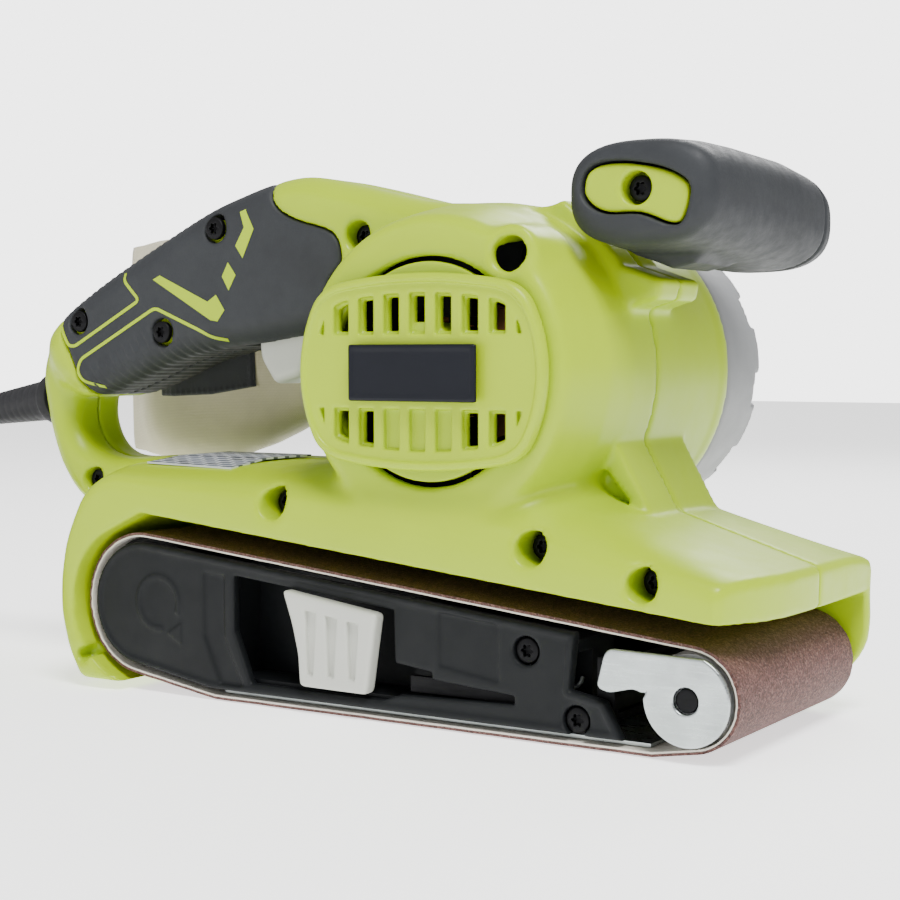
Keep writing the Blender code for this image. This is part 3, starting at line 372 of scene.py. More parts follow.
class Field:
    """A block of space sampled on a regular grid, in millimetres."""

    def __init__(self, low, high, step):
        self.low = np.array(low, dtype=float)
        self.step = step
        axes = [np.arange(a, b + step, step) for a, b in zip(low, high)]
        self.x = axes[0][:, None, None]
        self.y = axes[1][None, :, None]
        self.z = axes[2][None, None, :]

    def side(self, outline):
        """Distance to an outline in the X-Z plane."""
        return poly_distance(outline, self.x, self.z)

    def disc(self, centre, radius):
        return np.sqrt((self.x - centre[0]) ** 2 + (self.z - centre[1]) ** 2) - radius

    def slab(self, y0, y1):
        return np.abs(self.y - (y0 + y1) / 2) - (y1 - y0) / 2

    def plate(self, flat, y0, y1, round_mm):
        """An outline's distance carried along Y between two faces, with rounded rims."""
        if round_mm <= 0:
            return np.maximum(flat, self.slab(y0, y1))
        a = flat + round_mm
        b = self.slab(y0, y1) + round_mm
        return (np.sqrt(np.maximum(a, 0) ** 2 + np.maximum(b, 0) ** 2)
                + np.minimum(np.maximum(a, b), 0) - round_mm)

    def rod_x(self, x0, x1, y, z, radius):
        return np.maximum(np.sqrt((self.y - y) ** 2 + (self.z - z) ** 2) - radius,
                          np.abs(self.x - (x0 + x1) / 2) - (x1 - x0) / 2)


def sample(field, grid, points):
    """Trilinear reading of a field at points in millimetres."""
    place = (points - grid.low) / grid.step
    top = np.array(field.shape) - 2
    base = np.clip(np.floor(place).astype(int), 0, top)
    f = np.clip(place - base, 0.0, 1.0)
    total = 0.0
    for dx in (0, 1):
        for dy in (0, 1):
            for dz in (0, 1):
                weight = (f[:, 0] if dx else 1 - f[:, 0]) * (f[:, 1] if dy else 1 - f[:, 1])
                weight = weight * (f[:, 2] if dz else 1 - f[:, 2])
                total = total + weight * field[base[:, 0] + dx, base[:, 1] + dy, base[:, 2] + dz]
    return total


def skin(name, field, grid, look, body="frame", nodes=(), smooth_passes=1):
    """Mesh the zero level of a field and make it a piece."""
    field = np.broadcast_to(field, (grid.x.size, grid.y.size, grid.z.size)).copy()
    for axis in range(3):
        edge = [slice(None)] * 3
        for end in (0, -1):
            edge[axis] = end
            field[tuple(edge)] = np.maximum(field[tuple(edge)], 0.01 * grid.step)
    inside = field < 0
    corner = np.zeros(tuple(n - 1 for n in field.shape), dtype=np.int8)
    for dx in (0, 1):
        for dy in (0, 1):
            for dz in (0, 1):
                corner += inside[dx:field.shape[0] - 1 + dx, dy:field.shape[1] - 1 + dy,
                                 dz:field.shape[2] - 1 + dz]
    active = (corner > 0) & (corner < 8)
    index = np.full(active.shape, -1, dtype=np.int64)
    cells = np.argwhere(active)
    index[active] = np.arange(len(cells))
    total = np.zeros((len(cells), 3))
    hits = np.zeros(len(cells))
    for axis in range(3):
        others = [a for a in range(3) if a != axis]
        for p in (0, 1):
            for q in (0, 1):
                first = cells.copy()
                first[:, others[0]] += p
                first[:, others[1]] += q
                second = first.copy()
                second[:, axis] += 1
                va = field[first[:, 0], first[:, 1], first[:, 2]]
                vb = field[second[:, 0], second[:, 1], second[:, 2]]
                cross = (va < 0) != (vb < 0)
                t = np.where(cross, va / np.where(cross, va - vb, 1.0), 0.0)
                spot = (first - cells).astype(float)
                spot[:, axis] += t
                total[cross] += spot[cross]
                hits[cross] += 1
    verts = grid.low + (cells + total / hits[:, None]) * grid.step
    quads = []
    for axis in range(3):
        a, b = [k for k in range(3) if k != axis]
        here = [slice(1, -1)] * 3
        ahead = [slice(1, -1)] * 3
        here[axis] = slice(0, -1)
        ahead[axis] = slice(1, None)
        s0, s1 = inside[tuple(here)], inside[tuple(ahead)]
        spots = np.argwhere(s0 != s1)
        if not len(spots):
            continue
        entering = s1[spots[:, 0], spots[:, 1], spots[:, 2]]
        spots = spots + 1
        spots[:, axis] -= 1
        ring = []
        for da, db in ((-1, -1), (0, -1), (0, 0), (-1, 0)):
            c = spots.copy()
            c[:, a] += da
            c[:, b] += db
            ring.append(index[c[:, 0], c[:, 1], c[:, 2]])
        ring = np.stack(ring, axis=1)
        flip = entering if axis != 1 else ~entering
        ring[flip] = ring[flip][:, ::-1]
        quads.append(ring)
    faces = np.concatenate(quads)
    step = grid.step * 0.5
    for _ in range(smooth_passes + 1):
        value = sample(field, grid, verts)
        nudges = step * np.eye(3)
        slope = np.stack([sample(field, grid, verts + nudge) - sample(field, grid, verts - nudge)
                          for nudge in nudges], axis=1) / (2 * step)
        size = np.maximum((slope ** 2).sum(axis=1), 0.25)
        move = np.clip(value / size, -grid.step * 0.5, grid.step * 0.5)
        verts = verts - slope * move[:, None]
    mesh = bpy.data.meshes.new(name)
    mesh.vertices.add(len(verts))
    mesh.vertices.foreach_set("co", (verts * MM).ravel())
    mesh.loops.add(faces.size)
    mesh.loops.foreach_set("vertex_index", faces.ravel())
    mesh.polygons.add(len(faces))
    mesh.polygons.foreach_set("loop_start", np.arange(len(faces)) * 4)
    mesh.update(calc_edges=True)
    mesh.shade_smooth()
    return add_piece(name, mesh, look, body, nodes)


def add_piece(name, mesh, look, body="frame", nodes=()):
    thing = bpy.data.objects.new(name, mesh)
    bpy.context.scene.collection.objects.link(thing)
    dress(thing, look)
    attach(thing, body)
    if nodes:
        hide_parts(*nodes)
    return thing


# ---- housing -------------------------------------------------------------------------------------
def skirt_edge(x):
    return 33.9 + 0.102 * (96.0 - x)


RIDGE_X = (-130.0, -45.0, -30.0, 40.0, 52.0, 65.0, 110.0)
RIDGE_Z = (66.2, 66.5, 68.0, 67.0, 60.6, 56.3, 42.0)
REAR_Z = (2.0, 10.0, 21.0, 31.0, 42.0, 50.0, 58.0, 66.0)
REAR_OUT = (-114.0, -119.0, -122.0, -122.0, -120.0, -116.4, -112.0, -104.0)
NOSE_Z = (2.0, 9.0, 17.0, 25.0, 32.0, 40.0, 56.0)
NOSE_OUT = (82.0, 96.0, 102.6, 104.0, 103.6, 104.0, 104.5)


def smooth_steps(x, xs, ys):
    """Piecewise-linear table read with its corners eased."""
    total = 0.0
    for shift in (-3.0, -1.5, 0.0, 1.5, 3.0):
        total = total + np.interp(x + shift, xs, ys)
    return total / 5


def base_field(g):
    """Deck over the belt, domed across the width, with a rear surround and a nose."""
    across = np.clip(np.abs(g.y - 1.0) / 44.2, 0.0, 1.0)
    share = np.sqrt(np.clip(1.0 - across ** 3.4, 0.0, 1.0))
    low = skirt_edge(g.x) + 7.3
    height = low + share * (smooth_steps(g.x, RIDGE_X, RIDGE_Z) - low)
    top = (g.z - height) * 0.86
    rear = smooth_steps(g.z, REAR_Z, REAR_OUT) + 7.0 * across ** 4 - g.x
    nose_low = smooth_steps(g.z, NOSE_Z, NOSE_OUT)
    nose = g.x - nose_low + 7.4 * np.where(g.y < 1.0, across, across * 0.35) ** 2.6
    sides = g.slab(NEAR_Y, FAR_Y)
    body = smax(top, rear, 9.0)
    body = smax(body, nose, 2.2)
    body = smax(body, sides, 2.0)
    return smax(body, 2.2 - g.z, 2.5)


def tunnel_outline():
    cx, cz, r = REAR
    turn = [math.radians(118 + (262 - 118) * i / 24) for i in range(25)]
    rear = [(cx + (r + 2.3) * math.cos(a), cz + (r + 2.3) * math.sin(a)) for a in turn]
    return rear + [(-80, -20), (140, -20), (140, skirt_edge(140)), (-84, skirt_edge(-84))]


HANDLE_BAR = curve_through([
    (30, 134.5), (8, 138.8), (-8, 140.5), (-32, 146.2), (-48, 149.3), (-60, 148.2), (-72, 145.2),
    (-87, 140.2),
    (-112, 128.6), (-130, 119.6), (-146, 110), (-152.6, 102), (-150, 91.5), (-140, 84.8), (-130, 85.2),
    (-114, 90.2), (-99, 95.8), (-82, 99.4), (-66, 101.0), (-52, 103.0), (-40, 103.8), (-25, 96), (13, 92),
    (30, 110),
], 4)
HANDLE_LEG = curve_through([
    (-136, 113), (-149, 107.4), (-156, 100), (-158.6, 91), (-157.4, 82), (-154.6, 71), (-149.5, 60),
    (-140, 50.5), (-118, 42), (-98, 44), (-94, 58), (-104, 65.5), (-126, 65.0), (-135.5, 66.8), (-141.4, 72),
    (-143.6, 80), (-140.5, 88), (-128, 96),
], 4)
GRIP_REGION = curve_through([
    (-63, 152), (-57, 141.5), (-50, 137), (-36, 132.4), (-33.2, 124), (-37, 119.6), (-40, 112), (-44, 103),
    (-50, 94),
    (-66, 88), (-95, 80), (-122, 74), (-133.5, 86), (-139, 96), (-144.5, 107), (-152, 118), (-130, 144),
    (-80, 164),
], 4)


def handle_field(g):
    bar = g.plate(g.side(HANDLE_BAR), PART_Y - HANDLE_HALF, PART_Y + HANDLE_HALF, 8.0)
    return bar


def leg_field(g):
    return g.plate(g.side(HANDLE_LEG), PART_Y - LEG_HALF, PART_Y + LEG_HALF, 7.5)


def barrel_field(g):
    radius = np.interp(g.y, (-40.5, -39.5, -37.5, -30.0, -22.0, -10.0, 60.0),
                       (38.6, 39.8, 40.9, 42.8, 44.4, 45.0, 45.0))
    flat = np.sqrt((g.x - MOTOR[0]) ** 2 + (g.z - MOTOR[1]) ** 2) - radius
    return smax(flat, g.slab(-40.0, 49.7), 2.2)


STALK = [(14, 128), (28, 136.4), (36, 138.8), (44.6, 131.2), (52.8, 121.2), (65.0, 117.0), (64, 112),
         (50, 108)]
BRACE = [(36, 84), (50, 80), (53.6, 76), (64.8, 56.2), (70, 48), (36, 48)]


def wrap(first, second, grow, steps=40):
    (ax, az, ar), (bx, bz, br) = first, second
    ar, br = ar + grow, br + grow
    heading = math.atan2(bz - az, bx - ax)
    tilt = math.acos((ar - br) / math.hypot(bx - ax, bz - az))
    result = []
    for cx, cz, r, start, end in ((ax, az, ar, heading + tilt, heading + 2 * math.pi - tilt),
                                  (bx, bz, br, heading - tilt, heading + tilt)):
        for i in range(steps + 1):
            a = start + (end - start) * i / steps
            result.append((cx + r * math.cos(a), cz + r * math.sin(a)))
    return result


# x, z, outer face y, radius of the well, depth, width of the raised collar
WELLS = [
    (-27.5, 131.2, -13.5, 4.3, 7.5, 0.0),
    (37.5, 123.0, -33.0, 4.6, 8.0, 3.2),
    (-36.0, 57.0, -43.0, 4.4, 16.0, 2.2),
    (45.5, 49.2, -43.0, 4.4, 16.0, 2.6),
    (76.5, 42.2, -43.0, 4.2, 16.0, 2.2),
    (-134.0, 58.0, -9.5, 4.0, 6.0, 0.0),
    (-106.9, 9.2, -43.0, 2.3, 7.0, 0.0),
]


def housing_field(g):
    shell = base_field(g)
    shell = smin(shell, barrel_field(g), 5.0)
    handle = handle_field(g)
    region = g.side(GRIP_REGION)
    core = handle + GRIP_SKIN + GAP
    handle = np.minimum(smax(handle, -region, 0.6), core)
    shell = smin(shell, leg_field(g), 4.0)
    shell = smin(shell, handle, 3.0)
    stalk = g.plate(g.side(STALK), PART_Y - 12.5, PART_Y + 12.5, 2.0)
    shell = smin(shell, stalk, 3.0)
    brace = g.plate(g.side(BRACE), -13.0, 28.0, 1.2)
    web = g.side([(47.5, 72.0), (59.5, 58.0), (44.0, 59.5)])
    brace = smax(brace, -np.maximum(web, g.y + 8.5), 0.8)
    shell = smin(shell, brace, 1.2)
    flange = g.plate(g.side(wrap((*MOTOR, BARREL_R), (REAR[0], REAR[1], DRIVE_END_R), 0.0)), 44.6, 49.7, 1.2)
    shell = smin(shell, flange, 1.5)
    ear = g.plate(g.disc((37.5, 123.0), 7.6), -38.5, -20.0, 1.6)
    shell = smin(shell, ear, 3.0)
    shell = smax(shell, -g.plate(g.side(tunnel_outline()), -70.0, TUNNEL_FAR, 0.0), 1.0)
    wall = np.interp(g.y, (-40.0, -36.0, -22.0, -10.0, 60.0), (35.6, 37.2, 40.6, 41.0, 41.0))
    cavity = np.maximum(g.disc(MOTOR, 0.0) - wall, g.slab(-36.4, 44.2))
    shell = np.maximum(shell, -cavity)
    shell = smax(shell, -g.plate(g.disc(MOTOR, VENT_R), -60.0, -30.0, 0.0), 0.8)
    for x, z, y, radius, depth, _ in WELLS:
        shell = smax(shell, -g.plate(g.disc((x, z), radius), -60.0, y + depth, 0.0), 1.2)
    slot = [(-74.5, 88), (-49, 88), (-45, 113), (-72, 112)]
    shell = np.maximum(shell, -g.plate(g.side(slot), PART_Y - 9.6, PART_Y + 9.6, 0.0))
    shell = np.maximum(shell, -g.rod_x(-175, -145, PART_Y, 83.6, 7.6))
    shell = np.maximum(shell, -g.rod_x(-75, -20, PORT[0], PORT[1], 10.7))
    lock = g.plate(g.disc((-66.0, 118.0), 5.4), 10.0, 40.0, 0.0)
    knob = g.plate(g.disc((72.0, 24.0), 3.4), 40.0, 60.0, 0.0)
    return np.maximum(shell, -np.minimum(lock, knob))


def make_housing():
    step = grid_step(1.15)
    for tag, low_y, high_y in (("right", -46.0, 6.0), ("left", 2.0, 52.0)):
        g = Field((-162.0, low_y, -1.0), (108.5, high_y, 153.0), step)
        field = housing_field(g)
        side = g.y - (PART_Y - GAP / 2) if tag == "right" else (PART_Y + GAP / 2) - g.y
        field = smax(field, side, 0.7)
        skin("shell_" + tag, field, g, "lime", "frame", ["housing_" + tag])


def make_grip():
    step = grid_step(0.8)
    for tag, low_y, high_y in (("right", -16.0, 6.0), ("left", 2.0, 24.0)):
        g = Field((-156.0, low_y, 76.0), (-30.0, high_y, 152.0), step)
        handle = handle_field(g)
        region = g.side(GRIP_REGION)
        field = smax(handle, region + GAP, 1.6)
        ribs = np.cos((g.x * 0.86 + g.z * 0.5) * 2 * math.pi / 3.0) * 0.28
        above = np.clip((g.z - 0.52 * g.x - 184.0) / 3.0, 0.0, 1.0)
        below = np.clip((np.minimum(0.5 * g.x + 160.0, 70.0 - 0.376 * g.x) - g.z) / 2.0, 0.0, 1.0)
        zone = np.clip(-(region + 3.0) / 2.0, 0.0, 1.0) * np.maximum(above, below)
        field = field + ribs * zone
        field = np.maximum(field, -(handle + GRIP_SKIN))
        slot = [(-75, 80), (-48.5, 80), (-44.5, 113), (-73, 112)]
        field = np.maximum(field, -g.plate(g.side(slot), PART_Y - 10.0, PART_Y + 10.0, 0.0))
        for x, z in ((-79.5, 135.2), (-100.8, 104.6), (-136.0, 108.2)):
            field = smax(field, -g.plate(g.disc((x, z), 4.2), -30.0, PART_Y - 4.0, 0.0), 1.0)
        field = np.maximum(field, -g.plate(g.disc((-66.0, 118.0), 5.4), 10.0, 40.0, 0.0))
        side = g.y - (PART_Y - GAP / 2) if tag == "right" else (PART_Y + GAP / 2) - g.y
        field = smax(field, side, 0.7)
        skin("overmould_" + tag, field, g, "grip", "frame", ["grip_" + tag])


def make_front_grip():
    step = grid_step(0.75)
    g = Field((42.0, -30.0, 115.0), (94.0, 53.0, 155.0), step)
    rows = np.array([
        (-26.5, 66.5, 138.2, 20.0, 12.8), (-12.0, 67.2, 137.8, 21.0, 14.0), (0.0, 68.0, 137.2, 21.2, 14.4),
        (24.0, 69.4, 135.8, 21.4, 14.6), (40.0, 70.3, 134.2, 20.8, 14.0), (49.5, 70.8, 133.2, 18.6, 12.4),
    ])
    cx, cz, a, b = (np.interp(g.y, rows[:, 0], rows[:, k]) for k in (1, 2, 3, 4))
    u, v = np.abs(g.x - cx) / a, np.abs(g.z - cz) / b
    power = 2.7
    level = (u ** power + v ** power) ** (1 / power)
    flat = (level - 1.0) * b
    body = smax(flat, g.slab(-26.5, 49.5), 5.0)
    neck = [(50.4, 132.0), (57.2, 123.6), (67.4, 119.6), (73.5, 121.0), (82, 130), (56, 136)]
    body = smin(body, g.plate(g.side(neck), -8.0, 16.0, 2.0), 2.0)
    pocket = curve_through([(50.8, 139.4), (51.9, 143.4), (55.4, 145.6), (61.3, 146.0), (67.1, 145.3),
                            (73.5, 143.8),
                            (78.6, 141.4), (81.0, 138.6), (80.4, 133.7), (78.4, 129.9), (74.6, 129.7),
                            (67.2, 132.4),
                            (58.7, 132.7), (54.3, 134.2), (51.6, 136.8)], 3)
    rim = g.side(pocket)
    body = smax(body, -g.plate(rim, -40.0, -16.0, 0.0), 1.0)
    ring = np.maximum(np.abs(g.y - GRIP_RING_Y) - 0.5, -(body + 0.8))
    body = smax(body, -ring, 0.4)
    skin("nose_grip", body, g, "grip", "frame", ["front_grip"])
    fine = Field((48.0, -28.0, 127.0), (86.0, -14.0, 151.0), grid_step(0.5))
    insert = fine.plate(fine.side(pocket) + 0.6, -25.4, -16.4, 1.2)
    insert = smax(insert, -fine.plate(fine.disc((66.0, 139.0), 4.2), -40.0, -18.0, 0.0), 1.0)
    skin("nose_insert", insert, fine, "lime", "frame", ["front_grip_insert"])


# ---- motor end cover -----------------------------------------------------------------------------
def bezel_field(g, grow=0.0):
    dome = g.disc(MOTOR, 37.8 + grow)
    bow = 25.5 + grow - 2.7 * ((g.x - MOTOR[0]) / 28.0) ** 2
    arch = np.abs(g.z - MOTOR[1]) - bow
    return smax(dome, arch * 0.98, 4.0)


def make_end_cover():
    g = Field((-27.0, -48.0, 64.0), (54.0, -26.0, 122.0), grid_step(0.5))
    flat = bezel_field(g)
    rise = 1.2 * np.clip(1.0 - ((g.x - MOTOR[0]) / 36.0) ** 2, 0.0, 1.0)
    outer = np.maximum(-45.0 - rise * 0.5 - g.y, g.y + 40.4)
    plate = smax(flat, outer, 2.4)
    frame_band = smax(bezel_field(g, -2.4), -1.0, 0.5)
    inner = np.maximum(frame_band, g.y + 44.4)
    plate = smax(plate, -np.maximum(inner, -44.4 - g.y - 9.0), 0.8)
    strips = []
    for sign, low in ((1, 10.6), (-1, 10.4)):
        band = np.maximum(bezel_field(g, -6.0), low - sign * (g.z - MOTOR[1]))
        strips.append(band)
    pitch = 8.0
    phase = np.abs((g.x - MOTOR[0] + pitch / 2) % pitch - pitch / 2)
    gap = phase - 2.35
    for i, band in enumerate(strips):
        recess = np.maximum(np.maximum(band - 0.8, gap), g.y + 42.6)
        plate = smax(plate, -recess, 0.6)
        if i == 1:
            band = np.maximum(band, 13.5 - np.abs(g.x - MOTOR[0]))
        hole = np.maximum(np.maximum(band, gap + 0.5), -60.0 - g.y)
        plate = smax(plate, -hole, 0.6)
    boss = g.plate(g.disc(MOTOR, 12.9), -42.2, -27.5, 0.0)
    plate = np.minimum(plate, boss)
    lip = np.maximum(g.plate(g.disc(MOTOR, 28.6), -39.6, -37.4, 0.4), 20.5 - np.abs(g.z - MOTOR[1]))
    plate = np.minimum(plate, lip)
    plate = np.maximum(plate, -g.plate(g.disc(MOTOR, 11.3), -34.3, -20.0, 0.0))
    skin("end_cover", plate, g, "lime", "frame", ["motor_cover"])
    b = Field((-9.0, -49.0, 83.5), (35.0, -44.0, 102.5), 0.5)
    outline = [(-6.5, 85.6), (32.6, 85.6), (32.6, 100.4), (-6.5, 100.4)]
    flat = b.side(outline)
    badge = b.plate(flat, -47.2, -45.9, 0.5)
    badge = smin(badge, b.plate(np.abs(flat + 0.9) - 0.45, -47.5, -46.0, 0.2), 0.3)
    skin("badge", badge, b, "badge", "frame", ["badge_plate"])


# ---- drive-belt cover ----------------------------------------------------------------------------
def make_drive_cover():
    g = Field((-113.0, 47.0, -1.0), (62.0, 82.0, 142.0), grid_step(1.0))
    ends = ((*MOTOR, 44.6), (REAR[0], REAR[1], DRIVE_END_R))
    flat = g.side(wrap(*ends, 0.0))
    taper = np.clip((g.y - 50.0) / 28.0, 0.0, 1.0) * 1.8
    cover = smax(flat + taper, g.slab(50.0, 80.0), 3.4)
    cover = smax(cover, -g.plate(flat + 3.0, 40.0, 77.4, 0.0), 0.5)
    groove = np.maximum(np.abs(flat + 9.0) - 0.9, 79.2 - g.y)
    cover = smax(cover, -groove, 0.6)
    angle = np.arctan2(g.z - MOTOR[1], g.x - MOTOR[0])
    turn = np.abs((angle - math.radians(-40) + math.radians(16)) % math.radians(32) - math.radians(16))
    notch = np.maximum(np.maximum(turn * 42.0 - 4.6, 38.5 - (g.disc(MOTOR, 0.0))), 75.0 - g.y)
    notch = np.maximum(notch, -(angle + math.radians(57)))
    notch = np.maximum(notch, angle - math.radians(104))
    cover = smax(cover, -notch, 0.8)
    louvre = np.abs((g.x - MOTOR[0] + 4.0) % 8.0 - 4.0) - 1.9
    louvre = np.maximum(np.maximum(louvre, g.disc(MOTOR, 24.0)), np.abs(g.z - MOTOR[1]) - 15.0)
    cover = smax(cover, -np.maximum(louvre, 70.0 - g.y), 0.5)
    for x, z in ((-94.0, 14.0), (-62.0, 66.0), (-30.0, 34.0)):
        cover = smax(cover, -g.plate(g.disc((x, z), 3.4), 77.0, 90.0, 0.0), 0.8)
    skin("drive_cover", cover, g, "grey", "frame", ["drive_belt_cover"])


# ---- belt unit -----------------------------------------------------------------------------------
def arc(cx, cy, r, start, end, steps):
    turn = [math.radians(start + (end - start) * i / steps) for i in range(steps + 1)]
    return [(cx + r * math.cos(a), cy + r * math.sin(a)) for a in turn]


def belt_loop(grow, rear_steps=48, front_steps=40):
    """Outline of the sanding belt, with points along its straight runs too."""
    rear_r, front_r = REAR[2] + grow, FRONT[2] + grow
    drop_rear = math.degrees(math.atan2(REAR[1] - REAR[2], PLATEN[0] - REAR[0]))
    drop_front = math.degrees(math.atan2(FRONT[1] - FRONT[2], FRONT[0] - PLATEN[1]))
    slope = math.degrees(math.atan2(REAR[1] - FRONT[1], FRONT[0] - REAR[0]))
    lean = math.degrees(math.asin((REAR[2] - FRONT[2]) / math.hypot(FRONT[0] - REAR[0], REAR[1] - FRONT[1])))
    top = 90 - slope - lean
    rear = arc(REAR[0], REAR[1], rear_r, top, 270 - drop_rear, rear_steps)
    front = arc(FRONT[0], FRONT[1], front_r, -90 + drop_front, top, front_steps)
    key = rear + [(PLATEN[0], -grow), (PLATEN[1], -grow)] + front
    result = []
    for a, b in zip(key, key[1:] + key[:1]):
        pieces = max(1, int(math.hypot(b[0] - a[0], b[1] - a[1]) / 5.0))
        for i in range(pieces):
            result.append((a[0] + (b[0] - a[0]) * i / pieces, a[1] + (b[1] - a[1]) * i / pieces))
    return result


def make_belt():
    """Abrasive outside, woven backing inside, cloth edges showing pale where they fray."""
    outer, inner = belt_loop(0.0), belt_loop(-BELT_THICK)
    count = len(outer)
    rng = np.random.default_rng(5)
    fray = rng.uniform(-0.22, 0.16, (2, count))
    bm = bmesh.new()
    rows = []
    for depth, reach in ((0.0, -0.45), (0.0, 0.0), (0.62, 0.05), (1.0, 0.0), (1.0, -1.2)):
        for sign, side in ((-1, 0), (1, 1)):
            ring = []
            for i in range(count):
                x = outer[i][0] + (inner[i][0] - outer[i][0]) * depth
                z = outer[i][1] + (inner[i][1] - outer[i][1]) * depth
                wear = fray[side, i] if reach > -0.2 else 0.0
                ring.append(bm.verts.new(Vector((x, sign * (BELT_HALF - 0.2 + reach + wear), z)) * MM))
            rows.append((sign, depth, ring))
    near = [r for r in rows if r[0] < 0]
    far = [r for r in rows if r[0] > 0]
    order = [r[2] for r in reversed(near)] + [r[2] for r in far]
    kinds = np.array([1, 1, 0, 0, 0, 0, 0, 1, 1, 1], dtype=np.int32)
    for a, b in zip(order, order[1:] + order[:1]):
        for i in range(count):
            k = (i + 1) % count
            bm.faces.new((a[i], a[k], b[k], b[i]))
    bmesh.ops.recalc_face_normals(bm, faces=bm.faces)
    mesh = bpy.data.meshes.new("belt")
    bm.to_mesh(mesh)
    bm.free()
    mesh.shade_smooth()
    mesh.set_sharp_from_angle(angle=math.radians(50))
    belt = add_piece("belt", mesh, "grit", "frame", ["sanding_belt"])
    belt.data.materials.append(LOOKS["backing"].material)
    belt.data.polygons.foreach_set("material_index", np.repeat(kinds, count))


def run_height(x, inset):
    slope = (REAR[1] + REAR[2] - FRONT[1] - FRONT[2]) / (FRONT[0] - REAR[0])
    return FRONT[1] + FRONT[2] - BELT_THICK - inset + slope * (FRONT[0] - x)


def make_side_frame():
    g = Field((-108.0, -39.5, 1.0), (72.0, -27.0, 46.0), grid_step(0.6))
    inset = 1.6
    low = BELT_THICK + inset
    outline = arc(REAR[0], REAR[1], REAR[2] - BELT_THICK - inset, 86, 255, 40)
    outline += [(-62, low), (69.5, low), (64.3, 12.2), (54.6, 14.0), (56.2, run_height(56.2, inset))]
    flat = g.side(outline)
    plate = g.plate(flat, -38.0, -34.9, 0.7)
    boss = g.plate(g.disc((REAR[0], REAR[1]), 4.6), -36.0, -29.0, 0.3)
    plate = np.minimum(plate, boss)
    rim = np.maximum(np.abs(flat + 1.1) - 0.7, g.slab(-38.5, -36.0))
    plate = smin(plate, rim, 0.5)
    pocket = [(-53, 35.6), (1.4, 30.1), (1.8, 16.0), (13.5, 14.6), (13.5, 11.5), (-2.0, 5.6), (-47, 5.6),
              (-53, 20)]
    plate = smax(plate, -np.maximum(g.side(pocket), g.slab(-60.0, -20.0)), 0.8)
    ramp = [(0.0, 13.6), (38.5, 10.9), (38.5, 8.7), (0.0, 7.4)]
    plate = smax(plate, -np.maximum(g.side(ramp), -60.0 - g.y), 0.6)
    for x, z in ((42.0, 22.8), (56.5, 6.6)):
        plate = smax(plate, -g.plate(g.disc((x, z), 3.8), -60.0, -20.0, 0.0), 0.6)
    # A round arrow and shallow ribs are moulded into the plate.
    ring = np.abs(g.disc((-81.0, 26.0), 7.6)) - 0.7
    angle = np.arctan2(g.z - 26.0, g.x + 81.0)
    ring = np.maximum(ring, -(np.abs(angle - math.radians(-50.0)) - math.radians(28.0)) * 7.6)
    head = g.side([(-77.6, 17.4), (-72.2, 20.8), (-72.6, 14.6)])
    mark = np.maximum(np.minimum(ring, head), g.slab(-38.35, -37.0))
    plate = smin(plate, mark, 0.3)
    panel = g.side([(16, 30.5), (34, 28.6), (34, 14.0), (16, 16.6)])
    plate = smax(plate, -np.maximum(panel, g.y + 37.5), 0.5)
    step = g.side([(-64, 36.0), (-56.5, 35.4), (-56.5, 18), (-50, 4.6), (-58, 4.6), (-64, 18)])
    plate = smax(plate, -np.maximum(step, g.y + 37.3), 0.5)
    skin("frame_plate", plate, g, "black", "frame", ["side_frame"])


def rounded(points, radius, steps=4):
    result = []
    count = len(points)
    for i, point in enumerate(points):
        here = Vector(point)
        before, after = Vector(points[i - 1]) - here, Vector(points[(i + 1) % count]) - here
        reach = min(radius, before.length * 0.45, after.length * 0.45)
        start, end = here + before.normalized() * reach, here + after.normalized() * reach
        for k in range(steps + 1):
            t = k / steps
            bend = start * (1 - t) ** 2 + here * 2 * t * (1 - t) + end * t * t
            result.append((bend.x, bend.y))
    return result


def make_yoke():
    """Pressed steel yoke: hook-shaped near arm with the axle hole, cross bar, plain far arm."""
    hook = rounded([(88.5, 26.6), (65.6, 25.8), (63.2, 16.0), (66.6, 14.9), (73.4, 16.6), (76.0, 15.6)],
                   2.4)[5:]
    near = arc(FRONT[0], FRONT[1], 11.4, -178, 66, 48) + hook
    g = Field((61.0, -42.0, 2.0), (100.5, -36.5, 29.0), grid_step(0.3))
    plate = g.plate(g.side(near), -40.2, -38.7, 0.4)
    hole = g.disc((FRONT[0], FRONT[1]), 3.3)
    plate = smax(plate, -np.maximum(hole, g.slab(-60.0, -20.0)), 0.3)
    skin("yoke_near", plate, g, "steel", "yoke", ["roller_yoke"])
    f = Field((61.0, 37.0, 6.0), (97.0, 42.0, 26.0), 0.6)
    far = rounded([(63, 12), (80, 8), (94, 8), (94, 22), (80, 24), (63, 24)], 4)
    arm = smax(f.plate(f.side(far), 38.5, 40.2, 0.4), -f.disc((FRONT[0], FRONT[1]), 3.3), 0.3)
    skin("yoke_far", arm, f, "steel", "yoke")
    b = Field((YOKE_BAR[0] - 1, -40.0, YOKE_BAR[2] - 1), (YOKE_BAR[1] + 1, 40.0, YOKE_BAR[3] + 1), 0.8)
    corners = [(YOKE_BAR[0], YOKE_BAR[2]), (YOKE_BAR[1], YOKE_BAR[2]), (YOKE_BAR[1], YOKE_BAR[3]),
               (YOKE_BAR[0], YOKE_BAR[3])]
    skin("yoke_bar", b.plate(b.side(corners), -38.8, 38.8, 0.5), b, "dark_steel_and_painted_shade", "yoke")
    # A near-black disc set in the axle hole: painted shade standing in for the dark of the hole.
    hole_shade = Field((82.0, -40.5, 10.0), (92.5, -37.0, 20.0), grid_step(0.25))
    skin("axle_hole_painted_shade", hole_shade.plate(hole_shade.disc((FRONT[0], FRONT[1]), 3.0), -39.4, -38.3, 0.4), hole_shade,
         "dark_steel_and_painted_shade", "yoke")


